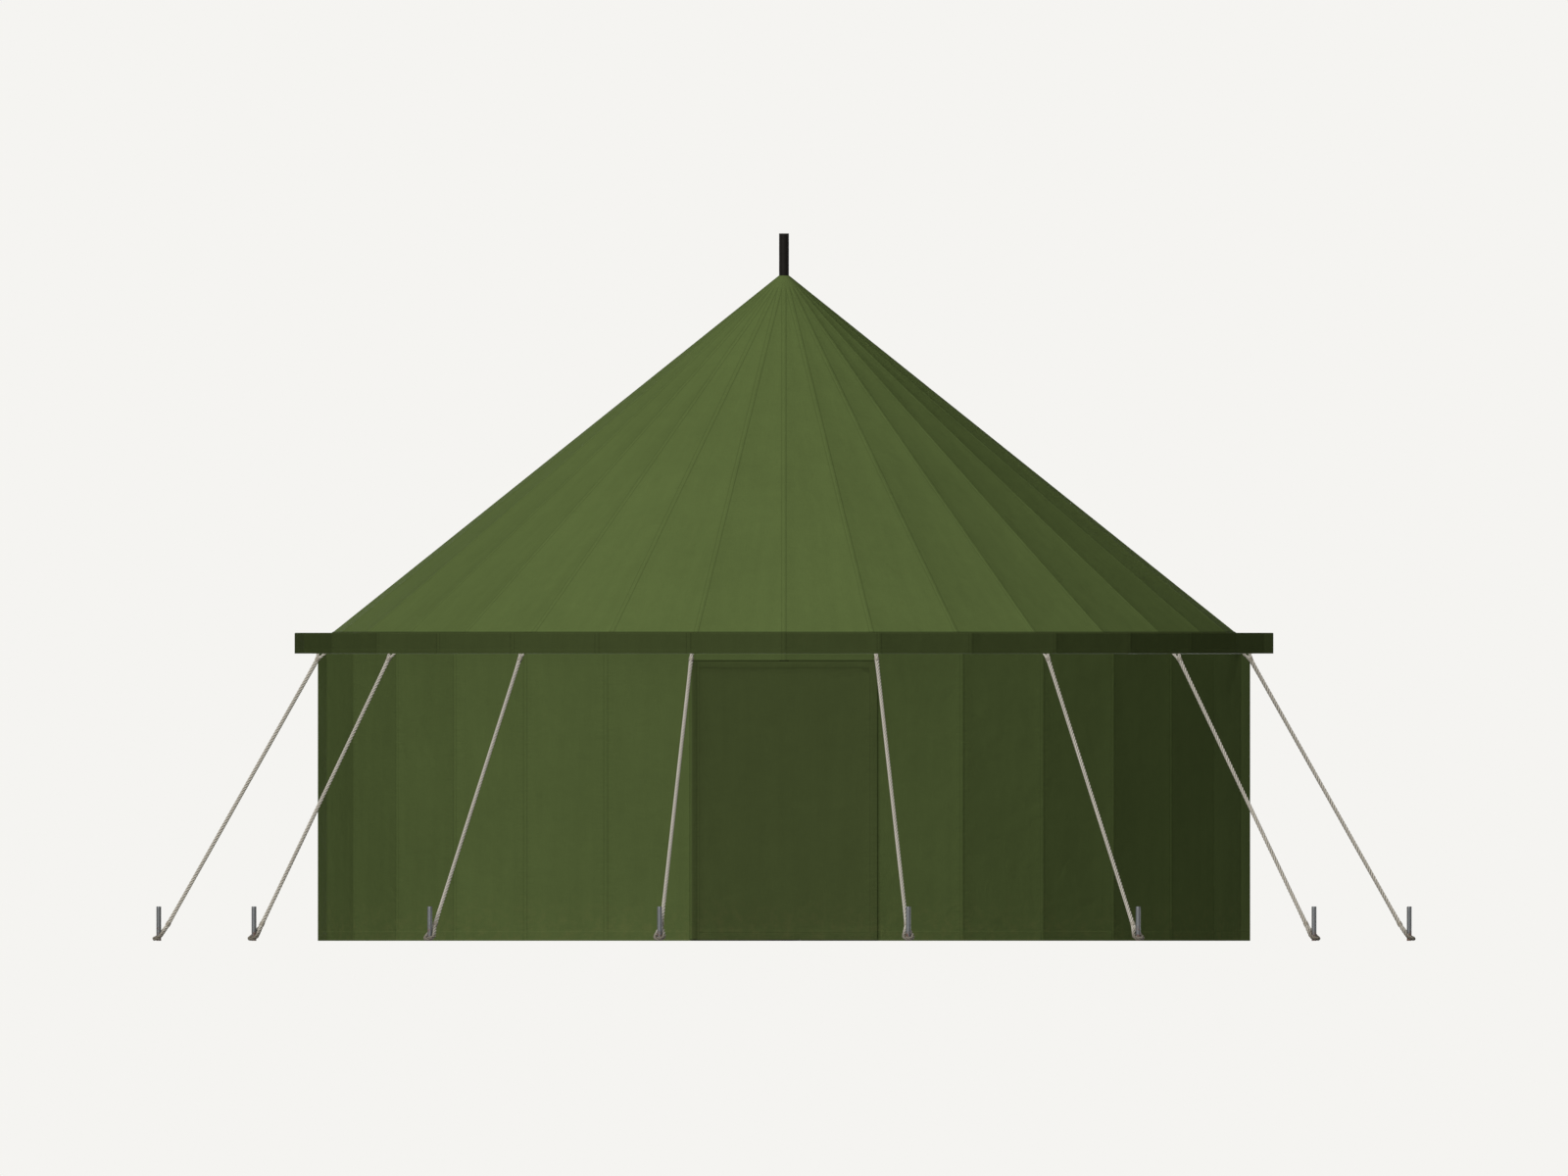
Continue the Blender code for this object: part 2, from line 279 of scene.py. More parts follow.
class TentStageSettings(bpy.types.PropertyGroup):
    """Floor, background, lights and camera"""

    floor_colour: colour_property("Floor", "Colour of the floor", (0.909, 0.8985, 0.8755))
    background: colour_property("Background", "Colour behind the tent", screen(245, 244, 241))
    floor_glow: strength_property("Floor glow", "The floor's own light, which keeps shadows pale", 0.285)
    floor_radius: distance_property("Floor radius", "Radius of the round floor", 250.0)
    camera_distance: distance_property("Camera distance", "Distance of the camera from the pole", 30.0)
    ambient: strength_property("Ambient", "Strength of the even light", 0.01)
    key_strength: strength_property("Key", "Strength of the main light, at the front left", 3.75)
    key_azimuth: angle_property("Key azimuth", "Side that the main light comes from", -24)
    key_elevation: angle_property("Key elevation", "Height of the main light", 31)
    key_softness: angle_property("Key softness", "Angle that the main light fills", 40)
    open_share: share_property("Open share", "Share of the main light that throws no shadows", 0.25, 1.0)
    fill_strength: strength_property("Fill", "Strength of the light from the back right", 2.2)
    fill_azimuth: angle_property("Fill azimuth", "Side that the second light comes from", 136)
    fill_elevation: angle_property("Fill elevation", "Height of the second light, under the floor", -20)
    fill_softness: angle_property("Fill softness", "Angle that the second light fills", 40)
    rim_strength: strength_property("Rim", "Strength of the light from behind", 1.25)
    rim_azimuth: angle_property("Rim azimuth", "Side that the light from behind comes from", 186)
    rim_elevation: angle_property("Rim elevation", "Height of the light from behind", 14)
    rim_softness: angle_property("Rim softness", "Angle that the light from behind fills", 20)


# Materials


class Finish:
    """A material whose node tree is built by short calls."""

    def __init__(self, name):
        self.material = bpy.data.materials.new(name)
        self.material.use_nodes = True
        self.tree = self.material.node_tree
        self.shader = self.tree.nodes["Principled BSDF"]

    def set(self, socket, value):
        if isinstance(value, bpy.types.NodeSocket):
            self.tree.links.new(value, socket)
        elif hasattr(value, "__len__") and len(value) < len(socket.default_value):
            # A colour comes without its alpha
            socket.default_value = (*value, 1.0)
        else:
            socket.default_value = value

    def fill(self, node, inputs):
        """Sets a node's inputs, by name with _ for a space, to values or to other nodes' outputs."""
        for name, value in inputs.items():
            self.set(node.inputs[name.replace("_", " ")], value)
        return node

    def node(self, kind, **inputs):
        return self.fill(self.tree.nodes.new(kind), inputs)

    def surface(self, **inputs):
        """Sets the shader's own inputs."""
        self.fill(self.shader, inputs)

    def math(self, operation, *values):
        made = self.tree.nodes.new("ShaderNodeMath")
        made.operation = operation
        for socket, value in zip(made.inputs, values):
            self.set(socket, value)
        return made.outputs[0]

    def product(self, first, *others):
        for other in others:
            first = self.math("MULTIPLY", first, other)
        return first

    def wave(self, value, length):
        """A sine from -1 to 1 with the given wavelength."""
        return self.math("SINE", self.math("MULTIPLY", value, math.tau / length))

    def share(self, value, start, end):
        """0 where the value is at start, 1 where it is at end, and smooth between."""
        made = self.node("ShaderNodeMapRange", Value=value, From_Min=start, From_Max=end)
        made.interpolation_type = "SMOOTHSTEP"
        return made.outputs["Result"]

    def between(self, value, low, high):
        """A 0 to 1 value as one from low to high."""
        return self.math("MULTIPLY_ADD", value, high - low, low)

    def varied(self, *layers):
        """The product of 0 to 1 values, each of them as one from low to high."""
        return self.product(*(self.between(*layer) for layer in layers))

    def mix(self, share, first, second):
        made = self.tree.nodes.new("ShaderNodeMix")
        made.data_type = "RGBA"
        self.set(made.inputs["Factor"], share)
        self.set(made.inputs[6], first)
        self.set(made.inputs[7], second)
        return made.outputs[2]

    def scaled_colour(self, colour, factor):
        """A colour made lighter or darker by a factor."""
        made = self.tree.nodes.new("ShaderNodeVectorMath")
        made.operation = "SCALE"
        self.set(made.inputs[0], colour)
        self.set(made.inputs["Scale"], factor)
        return made.outputs[0]

    def place(self):
        """The piece's own coordinates in metres."""
        return self.tree.nodes.new("ShaderNodeTexCoord").outputs["Object"]

    def height(self):
        """Height over the ground."""
        return self.axes(self.place())[2]

    def layout(self, name):
        """A UV map of the piece, in metres of cloth or rope."""
        made = self.tree.nodes.new("ShaderNodeUVMap")
        made.uv_map = name
        return made.outputs[0]

    def attribute(self, name):
        made = self.tree.nodes.new("ShaderNodeAttribute")
        made.attribute_name = name
        return made.outputs["Fac"]

    def axes(self, vector):
        return self.node("ShaderNodeSeparateXYZ", Vector=vector).outputs

    def noise(self, vector, scale, detail=2.0, roughness=0.5, distortion=0.0):
        """Noise from 0 to 1 in lumps of about 1 / scale metres."""
        made = self.node(
            "ShaderNodeTexNoise",
            Vector=vector,
            Scale=scale,
            Detail=detail,
            Roughness=roughness,
            Distortion=distortion,
        )
        return made.outputs[0]

    def grain(self, vector, scale, detail=2.0, roughness=0.5):
        """Noise that is drawn out: the scale has the lumps per metre along each axis."""
        drawn_out = self.node("ShaderNodeMapping", Vector=vector, Scale=scale).outputs[0]
        return self.noise(drawn_out, 1.0, detail, roughness)

    def bump(self, height, distance, strength, normal=None):
        made = self.node("ShaderNodeBump", Height=height, Distance=distance, Strength=strength)
        if normal:
            self.set(made.inputs["Normal"], normal)
        return made.outputs[0]


def canvas_finish(name, colour, canvas):
    """Proofed cotton canvas: weave, slubs, stitches, puckered seams, weathering, painted shade along the
    seams' edges, and dirt at the foot.
    """
    look = Finish(name)
    cloth = look.layout("weave")
    across, along, _ = look.axes(cloth)
    stitch_across, stitch_along, _ = look.axes(look.layout("stitch"))
    place = look.place()
    seam_distance = look.attribute("seam_distance")

    weave = look.product(look.wave(across, canvas.weave_pitch), look.wave(along, canvas.weave_pitch))
    slubs = look.grain(cloth, (260, 18, 1))
    weft = look.grain(cloth, (14, 220, 1))
    streaks = look.grain(cloth, (16, 1.3, 1), 3.0, 0.6)
    clouds = look.noise(place, 1.5, 4.0, 0.55)
    blotches = look.noise(place, 9.0, 3.0, 0.6)
    # Painted shade: the cloth is darkened in a narrow band along the step at each seam's edge
    seam_groove_shade = look.product(
        look.share(seam_distance, 0.018, 0.010), look.share(seam_distance, 0.0085, 0.0105)
    )
    # Real weathering tones, times the painted shade along the seams
    weathering_and_seam_shade = look.varied(
        (clouds, 0.90, 1.10),
        (streaks, 0.92, 1.08),
        (blotches, 0.95, 1.05),
        (slubs, 0.93, 1.07),
        (weft, 0.95, 1.05),
        (seam_groove_shade, 1.0, 0.80),
    )
    tone = look.product(weathering_and_seam_shade, look.attribute("panel_tone"))

    def stitch_line(distance):
        off = look.math("ABSOLUTE", look.math("SUBTRACT", stitch_across, distance))
        return look.share(off, 0.0008, 0.0003)

    stitches = look.product(
        look.math("MAXIMUM", stitch_line(STITCH_NEAR), stitch_line(STITCH_FAR)),
        look.share(look.wave(stitch_along, STITCH_LENGTH), -0.75, -0.35),
    )
    dirt = look.product(
        look.share(look.height(), 0.32, 0.02),
        look.share(look.noise(place, 22.0, 4.0, 0.65), 0.40, 0.75),
        0.28,
    )
    soil = (colour[0] * 1.5 + 0.02, colour[1] * 1.2 + 0.012, colour[2] * 1.2 + 0.008)
    thread = tuple(channel * 1.5 for channel in colour)
    shade = look.mix(dirt, look.scaled_colour(colour, tone), soil)

    pucker = look.product(look.grain(cloth, (10, 55, 1), 1.0), look.share(seam_distance, 0.070, 0.012))
    crumple = look.noise(place, 6.0, 3.0, 0.5, 0.6)
    threads = look.math("ADD", weave, look.math("ADD", slubs, weft))
    normal = look.bump(crumple, 0.010, 0.45)
    normal = look.bump(pucker, 0.0022, 0.8, normal)
    normal = look.bump(threads, 0.00016, 0.8, normal)
    normal = look.bump(stitches, 0.0006, 0.9, normal)
    look.surface(
        Base_Color=look.mix(look.product(stitches, 0.7), shade, thread),
        Roughness=look.between(blotches, 0.84, 0.98),
        Specular_IOR_Level=0.001,
        Normal=normal,
    )
    return look.material


def rope_finish(name, colour):
    """Laid rope: painted shade in the hollows between the strands and between the turns of twine, fibres
    along them, and soil with painted shade near the ground.
    """
    look = Finish(name)
    fibres = look.grain(look.layout("lay"), (34, 160, 1), 3.0, 0.6)
    soiling = look.noise(look.place(), 7.0, 3.0)
    # Painted shade: the rope is darkened in the hollows between its strands and between the turns of the
    # twine
    groove_shading = look.share(look.attribute("groove"), 0.15, 1.0)
    tone = look.varied((fibres, 0.80, 1.20), (soiling, 0.88, 1.12), (groove_shading, 1.0, 0.50))
    # Soil and painted shade: the rope turns dark brown towards the ground, round the foot of the peg
    soil_and_shade = look.product(look.share(look.height(), 0.085, 0.015), look.between(soiling, 0.65, 0.95))
    look.surface(
        Base_Color=look.mix(soil_and_shade, look.scaled_colour(colour, tone), SOIL_AND_SHADE_COLOUR),
        Roughness=0.92,
        Specular_IOR_Level=0.2,
        Normal=look.bump(fibres, 0.0012, 0.7),
    )
    return look.material


def peg_finish(name, colour, rust_colour):
    """Worn bare steel with scratches, and rust towards the ground."""
    look = Finish(name)
    place = look.place()
    patches = look.noise(place, 60.0, 5.0, 0.65)
    scratches = look.grain(place, (900, 900, 40))
    foot = look.share(look.height(), 0.11, 0.0)
    rusty = look.share(look.math("MULTIPLY_ADD", foot, 0.26, patches), 0.62, 0.80)
    steel = look.scaled_colour(colour, look.between(scratches, 0.82, 1.18))
    look.surface(
        Base_Color=look.mix(look.product(rusty, 0.75), steel, rust_colour),
        Metallic=look.between(rusty, 0.75, 0.05),
        Roughness=look.between(look.math("MAXIMUM", rusty, scratches), 0.38, 0.85),
        Normal=look.bump(look.math("ADD", patches, scratches), 0.0006, 0.5),
    )
    return look.material


def paint_finish(name, colour):
    """Satin black paint with brush ripple, dust and a few chips down to grey primer."""
    look = Finish(name)
    place = look.place()
    ripple = look.grain(place, (90, 90, 7))
    chips = look.share(look.noise(place, 75.0, 4.0, 0.7), 0.70, 0.74)
    dust = look.share(look.noise(place, 8.0, 4.0, 0.6), 0.45, 0.85)
    painted = look.mix(look.product(dust, 0.03), colour, screen(112, 104, 92))
    look.surface(
        Base_Color=look.mix(look.product(chips, 0.8), painted, screen(92, 92, 90)),
        Roughness=look.between(look.math("MAXIMUM", dust, chips), 0.38, 0.65),
        Specular_IOR_Level=0.05,
        Normal=look.bump(look.math("SUBTRACT", ripple, chips), 0.0005, 0.5),
    )
    return look.material


def galvanised_finish(name, colour):
    """Zinc spangle with dull patches."""
    look = Finish(name)
    place = look.place()
    spangle = look.node("ShaderNodeTexVoronoi", Vector=place, Scale=130.0).outputs["Color"]
    grains = look.axes(spangle)[0]
    dull = look.noise(place, 14.0, 4.0)
    tone = look.varied((grains, 0.82, 1.12), (dull, 0.85, 1.15))
    look.surface(
        Base_Color=look.scaled_colour(colour, tone),
        Metallic=0.85,
        Roughness=look.between(look.product(dull, grains), 0.38, 0.68),
        Normal=look.bump(grains, 0.0002, 0.4),
    )
    return look.material


def floor_finish(name, colour, glow):
    """A plain pale floor with the faintest mottling, lit a little from within."""
    look = Finish(name)
    clouds = look.noise(look.place(), 0.7, 3.0)
    look.surface(
        Base_Color=look.scaled_colour(colour, look.between(clouds, 0.992, 1.008)),
        Roughness=0.9,
        Specular_IOR_Level=0.0,
        Emission_Color=colour,
        Emission_Strength=glow,
    )
    return look.material


def material_for(slot):
    """The finish of a material slot of the record, or of the twine, made at its first use."""
    known = bpy.data.materials.get(slot)
    if known and known.get("tent_finish"):
        return known
    scene = bpy.context.scene
    canvas = scene.tent_canvas
    metal = scene.tent_metal
    recipes = {
        "roof_canvas": (canvas_finish, canvas.roof_colour, canvas),
        "wall_canvas": (canvas_finish, canvas.wall_colour, canvas),
        "dark_canvas": (canvas_finish, canvas.dark_colour, canvas),
        "rope": (rope_finish, scene.tent_rope.rope_colour),
        "twine": (rope_finish, scene.tent_rope.twine_colour),
        "peg_steel": (peg_finish, metal.peg_colour, metal.rust_colour),
        "pole_paint": (paint_finish, metal.pole_colour),
        "hoop_steel": (galvanised_finish, metal.hoop_colour),
    }
    finish, *settings = recipes[slot]
    made = finish(slot + "_finish", *settings)
    made["tent_finish"] = True
    made.name = slot
    return made


# Mesh making


def spread(start, end, spacing):
    """Even steps of about the spacing from start to end."""
    return np.linspace(start, end, max(1, round(abs(end - start) / spacing)) + 1)


def hemmed_steps(start, first_hem, last_hem, end, spacings):
    """Steps from start to end in three lots, with a small step at the inner edge of each hem."""
    small = math.copysign(SEAM_STEP, end - start)
    lots = ((start, first_hem), (first_hem + small, last_hem - small), (last_hem, end))
    return np.concatenate([spread(*lot, spacing) for lot, spacing in zip(lots, spacings)])


def ramp(values, start, end):
    """0 up to start, 1 from end on, and straight between."""
    return np.clip((values - start) / (end - start), 0, 1)


def lumps(across, along, seed, across_size, along_size):
    """Smooth noise from -1 to 1 at every point, in lumps of the given size."""
    pairs = zip((across / across_size).ravel(), (along / along_size).ravel())
    values = [noise.noise((a, b, seed)) for a, b in pairs]
    return np.array(values).reshape(across.shape)


def circle(angles):
    """Points on the unit circle."""
    return np.stack([np.cos(angles), np.sin(angles)], axis=-1)


def unstitched(shape):
    """The stitch layout of faces that have no stitches."""
    stitch = np.zeros((*shape, 2))
    stitch[..., 0] = NO_STITCH
    return stitch


def new_mesh(name, points, faces):
    made = bpy.data.meshes.new(name)
    made.from_pydata(points, [], faces)
    return made


def add_layout(mesh, name, corners):
    layer = mesh.uv_layers.new(name=name)
    layer.data.foreach_set("uv", np.asarray(corners, np.float32).ravel())


def add_values(mesh, name, domain, values):
    attribute = mesh.attributes.new(name, "FLOAT", domain)
    attribute.data.foreach_set("value", np.asarray(values, np.float32))


def smooth(mesh, sharp_degrees):
    mesh.shade_smooth()
    mesh.set_sharp_from_angle(angle=math.radians(sharp_degrees))
    mesh.update()


def add_object(name, data):
    made = bpy.data.objects.new(name, data)
    bpy.context.scene.collection.objects.link(made)
    return made


def add_piece(name, mesh, body, slot, *nodes, material_slots=None):
    """Adds a mesh as a piece of the tent that rides on a body and may stand for nodes of the frame."""
    for used in material_slots or (slot,):
        mesh.materials.append(material_for(used))
    piece = add_object(name, mesh)
    if body:
        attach(piece, body)
    if nodes:
        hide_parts(*nodes)
    return piece


class CanvasRun:
    """A run of flat canvas panels between corners of the tent, as a grid of rows down and columns across.

    The profile is the outer face's (radius, height) outline at the corners, from its upper or inner end
    down. seams has the half width of the seam on each of the run's corners. Each panel's columns follow
    its first corner's seam, the seam's step, the cloth, and the next seam up to the next corner.
    """

    def __init__(self, profile, first_corner, seams):
        self.radius, self.height = np.array(profile, float).T
        self.panels = len(seams) - 1
        self.ring = self.panels == SIDES
        self.first_corner = first_corner
        # The face's normal, outwards and up, row by row
        flat_run = np.gradient(self.radius) * math.cos(STEP / 2)
        fall = np.gradient(self.height)
        length = np.hypot(flat_run, fall)
        self.out = -fall / length
        self.up = flat_run / length
        moves = np.hypot(np.diff(self.radius) * math.cos(STEP / 2), np.diff(self.height))
        self.along = np.concatenate(([0.0], np.cumsum(moves)))
        self.width = 2 * self.radius * math.sin(STEP / 2)
        self.across = np.stack([self.columns(p, seams) for p in range(self.panels)], axis=1)
        self.segments = self.across.shape[2] - 1
        self.share = self.across / self.width[:, None, None]
        self.across_dip = 4 * self.share * (1 - self.share)
        self.nearest = np.minimum(self.across, self.width[:, None, None] - self.across)
        self.points, self.normals = self.lay_out()

    def columns(self, panel, seams):
        """Distances from a panel's first corner for every row, with seams that keep to their share."""
        limit = SEAM_SHARE * self.width
        first = np.minimum(seams[panel], limit)
        last = np.minimum(seams[panel + 1], limit)
        step = np.minimum(SEAM_STEP, SEAM_STEP_SHARE * self.width)
        start = first + step
        end = self.width - last - step
        cloth = start[:, None] + (end - start)[:, None] * np.linspace(0, 1, CLOTH_COLUMNS + 1)
        first_trim = BUTT_GAP * (panel == 0 and not self.ring)
        last_trim = BUTT_GAP * (panel == self.panels - 1 and not self.ring)
        edges = (0 * limit + first_trim, self.width - last_trim)
        return np.column_stack([edges[0], first, cloth, self.width - last, edges[1]])

    def lay_out(self):
        """The outer face's points, and how far each moves for a unit of offset."""
        points = np.zeros((*self.across.shape, 3))
        normals = np.zeros_like(points)
        for p in range(self.panels):
            angles = (self.first_corner + p) * STEP + np.array([0.0, STEP / 2, STEP])
            start, middle, end = circle(angles)
            share = self.share[:, p, :, None]
            points[:, p, :, :2] = self.radius[:, None, None] * (start * (1 - share) + end * share)
            points[:, p, :, 2] = self.height[:, None]
            normals[:, p, :, :2] = self.out[:, None, None] * middle
            # The offset is mitred at the corners
            normals[:, p, 0, :2] = self.out[:, None] * start / math.cos(STEP / 2)
            normals[:, p, -1, :2] = self.out[:, None] * end / math.cos(STEP / 2)
            normals[:, p, :, 2] = self.up[:, None]
        return points, normals

    def doubled(self, rows):
        """1 on the seams and on the marked rows, 0 on the single cloth."""
        mask = np.zeros(self.across.shape)
        mask[:, :, :2] = 1
        mask[:, :, -2:] = 1
        return np.maximum(mask, rows[:, None, None])

    def per_panel(self, seed, low, high):
        """A random value for each panel, from low to high."""
        return np.random.default_rng(seed).uniform(low, high, self.panels)

    def sag(self, share, seed, low, high):
        """How far each panel dips: a share of its width, times a random value from low to high."""
        return share * self.width[:, None, None] * self.per_panel(seed, low, high)[:, None]

    def waves(self, height, across_size, along_size, seed, shift, slant=0.0):
        """Lumps of the given height and sizes, which start anew from panel to panel."""
        moved = self.across + (self.first_corner + np.arange(self.panels))[:, None] * shift
        down = self.along[:, None, None] + slant * self.across
        return lumps(moved, down, seed, across_size, along_size) * height

    def flat(self, values):
        """The values row by row, with each corner that two panels share taken once."""
        kept = values[:, :, :-1].reshape(len(values), -1, *values.shape[3:])
        return kept if self.ring else np.concatenate([kept, values[:, -1:, -1]], axis=1)

    def mesh(self, name, outer, inner, hems, tones):
        """A closed shell between the outer and inner offsets.

        hems are (start, end, stitched edge) distances along the profile, tones a value for each panel.
        """
        moved = (self.points + self.normals * offset[..., None] for offset in (outer, inner))
        faces = [self.flat(points) for points in moved]
        rows, columns = faces[0].shape[:2]
        index, inner_index = np.arange(2 * rows * columns).reshape(2, rows, columns)
        steps = [np.arange(count) for count in (rows - 1, self.panels, self.segments)]
        row, panel, segment = (grid.ravel() for grid in np.meshgrid(*steps, indexing="ij"))
        column = panel * self.segments + segment
        beside = (column + 1) % columns

        low = row + 1
        corners = [(row, segment), (low, segment), (low, segment + 1), (row, segment + 1)]
        across = np.stack([self.across[r, panel, s] for r, s in corners], axis=1)
        width = np.stack([self.width[r] for r, _ in corners], axis=1)
        along = np.stack([self.along[r] for r, _ in corners], axis=1)
        weave = np.stack([across - width / 2, along], axis=2)
        stitch = unstitched(across.shape)
        for at, distance in ((0, across), (self.segments - 1, width - across)):
            seam = segment == at
            stitch[seam] = np.stack([distance[seam], along[seam]], axis=2)
        for start, end, edge in hems:
            inside = (along.min(1) > start - NEARLY) & (along.max(1) < end + NEARLY)
            stitch[inside] = np.stack([np.abs(along[inside] - edge), across[inside]], axis=2)

        parts = []

        def add(around, weave_at, stitch_at, tone, flip):
            turned = slice(None, None, -1 if flip else 1)
            quads = np.stack(around, axis=1)
            parts.append((quads[:, turned], weave_at[:, turned], stitch_at[:, turned], tone))

        for table, flip in ((index, False), (inner_index, True)):
            around = [table[row, column], table[low, column], table[low, beside], table[row, beside]]
            add(around, weave, stitch, tones[panel], flip)
        for at, sides, flip in ((0, [0, 3, 3, 0], False), (rows - 1, [1, 2, 2, 1], True)):
            end = row == min(at, rows - 2)
            near, far = column[end], beside[end]
            around = [index[at, near], index[at, far], inner_index[at, far], inner_index[at, near]]
            add(around, weave[end][:, sides], unstitched((len(near), 4)), tones[panel[end]], flip)
        for at, flip in () if self.ring else ((0, False), (-1, True)):
            edge, inner_edge = index[:, at], inner_index[:, at]
            around = [edge[:-1], inner_edge[:-1], inner_edge[1:], edge[1:]]
            down = np.stack([self.along[:-1], self.along[:-1], self.along[1:], self.along[1:]], axis=1)
            cut = np.stack([np.full_like(down, CUT_EDGE), down], axis=2)
            add(around, cut, unstitched(down.shape), np.full(rows - 1, tones[at]), flip)

        quads, weaves, stitches, tone = (np.concatenate(kind) for kind in zip(*parts))
        points = np.concatenate([face.reshape(-1, 3) for face in faces])
        made = new_mesh(name, points.tolist(), quads.tolist())
        add_layout(made, "weave", weaves)
        add_layout(made, "stitch", stitches)
        add_values(made, "seam_distance", "POINT", np.tile(self.flat(self.nearest).ravel(), 2))
        add_values(made, "panel_tone", "FACE", tone)
        smooth(made, 6)
        return made


def ring_quads(rings, start):
    """The numbers of the rings' points, counted from start, and the faces from each ring to the next."""
    index = start + np.arange(rings.shape[0] * rings.shape[1]).reshape(rings.shape[:2])
    beside = np.roll(index, -1, axis=1)
    quads = np.stack([index[:-1], beside[:-1], beside[1:], index[1:]], axis=2)
    return index, quads.reshape(-1, 4).tolist()


def lathe(name, outline, sides):
    """A turned solid about the Z axis; the outline starts and ends on the axis."""
    angles = np.arange(sides) * math.tau / sides
    radius, height = np.array(outline[1:-1]).T[:, :, None]
    rings = np.dstack([radius * np.cos(angles), radius * np.sin(angles), height + 0 * angles])
    index, faces = ring_quads(rings, 0)
    faces += [(index.size, beside, at) for at, beside in zip(index[0], np.roll(index[0], -1))]
    faces += [(index.size + 1, at, beside) for at, beside in zip(index[-1], np.roll(index[-1], -1))]
    ends = [(0, 0, outline[0][1]), (0, 0, outline[-1][1])]
    made = new_mesh(name, rings.reshape(-1, 3).tolist() + ends, faces)
    smooth(made, 30)
    return made


# Canvas pieces


def build_roof(canvas):
    """Thirty-two gores that dip a little between their ridge seams, with a collar at the pole."""
    hem_radius = WALL_RADIUS - EAVE_HEM * ROOF_NORMAL_UP
    spacings = (0.022, 0.050, 0.024)
    radii = hemmed_steps(POLE_HOLE_RADIUS, COLLAR_RADIUS, hem_radius, WALL_RADIUS, spacings)
    profile = [(r, ROOF_APEX_HEIGHT - ROOF_RISE_PER_RUN * r) for r in radii]
    run = CanvasRun(profile, 0, [canvas.seam_half_width] * (SIDES + 1))
    collar = (radii < COLLAR_RADIUS + NEARLY).astype(float)
    hem = (radii > hem_radius - NEARLY).astype(float)
    doubled = run.doubled(collar)
    # The collar and the hem hold the cloth, which dips between them
    free = ramp(radii, COLLAR_RADIUS, COLLAR_RADIUS + ROOF_HELD_AT_COLLAR)
    free = free * ramp(radii, hem_radius, hem_radius - ROOF_HELD_AT_HEM)
    free = (free * free * (3 - 2 * free))[:, None, None]
    folds = run.waves(height=0.0011, across_size=0.075, along_size=0.75, seed=1.3, shift=3.7)
    drags = run.waves(height=0.0022, across_size=0.28, along_size=0.34, seed=5.1, shift=7.03, slant=1.0)
    depth = run.sag(canvas.roof_sag, seed=11, low=0.6, high=1.4)
    outer = canvas.seam_raise * doubled + free * run.across_dip * (folds + drags - depth)
    stiff = np.maximum(collar, hem)[:, None, None] * (COLLAR_THICKNESS - 2 * canvas.thickness)
    inner = outer - canvas.thickness * (1 + doubled) - stiff
    collar_edge = run.along[np.argmin(np.abs(radii - COLLAR_RADIUS))]
    hems = [(0.0, collar_edge, collar_edge)]
    mesh = run.mesh("roof_canvas", outer, inner, hems, run.per_panel(21, 0.975, 1.025))
    piece = add_piece("roof_canvas_cover", mesh, "root", "roof_canvas", "roof_canopy")


def band_profile():
    """The ledge's lip on the roof slope, the ledge, the turn over the edge hoop and the skirt."""
    root = (ROOF_APEX_HEIGHT + BAND_LIP_OFFSET / ROOF_NORMAL_UP - BAND_TOP) / ROOF_RISE_PER_RUN
    lip = [(root + x, BAND_TOP - ROOF_RISE_PER_RUN * x) for x in BAND_LIP]
    ledge_end = BAND_RADIUS - BAND_TURN
    skirt_top = BAND_TOP - BAND_TURN
    ledge = [(r, BAND_TOP) for r in spread(root + 0.001, ledge_end, 0.022)]
    arc = [
        (ledge_end + BAND_TURN * math.sin(a), skirt_top + BAND_TURN * math.cos(a))
        for a in np.radians([22.5, 45, 67.5])
    ]
    skirt = [(BAND_RADIUS, z) for z in spread(skirt_top, BAND_BOTTOM + BAND_HEM + SEAM_STEP, 0.012)]
    hem = [(BAND_RADIUS, z) for z in spread(BAND_BOTTOM + BAND_HEM, BAND_BOTTOM, 0.012)]
    return [*lip, *ledge, *arc, *skirt, *hem]


def build_eave_band(canvas):
    """A ledge and skirt of darker canvas, stretched over the two hoops."""
    profile = band_profile()
    run = CanvasRun(profile, 0, [canvas.seam_half_width] * (SIDES + 1))
    radii, heights = np.array(profile).T
    hem = (heights < BAND_BOTTOM + BAND_HEM + NEARLY).astype(float)
    doubled = run.doubled(hem)
    ledge_share = ramp(radii, radii[2], BAND_RADIUS - 0.006)
    ledge_dip = (np.sin(ledge_share * math.pi) ** 2 * LEDGE_DIP)[:, None, None]
    hang = ramp(heights, BAND_TOP - SKIRT_START, BAND_BOTTOM - SKIRT_START)[:, None, None]
    waves = run.waves(height=0.0026, across_size=0.11, along_size=0.30, seed=8.2, shift=2.3)
    dip = run.across_dip * (ledge_dip - hang * (waves - SKIRT_DRAW_IN))
    outer = BAND_SEAM_SHARE * canvas.seam_raise * doubled - dip
    inner = outer - BAND_THICKNESS - canvas.thickness * doubled
    bottom = float(run.along[-1])
    stitched = float(run.along[np.argmax(hem)])
    hems = [(stitched, bottom, stitched)]
    mesh = run.mesh("eave_band", outer, inner, hems, run.per_panel(22, 0.945, 0.99))
    piece = add_piece("eave_band_canvas", mesh, "root", "dark_canvas", "eave_band")


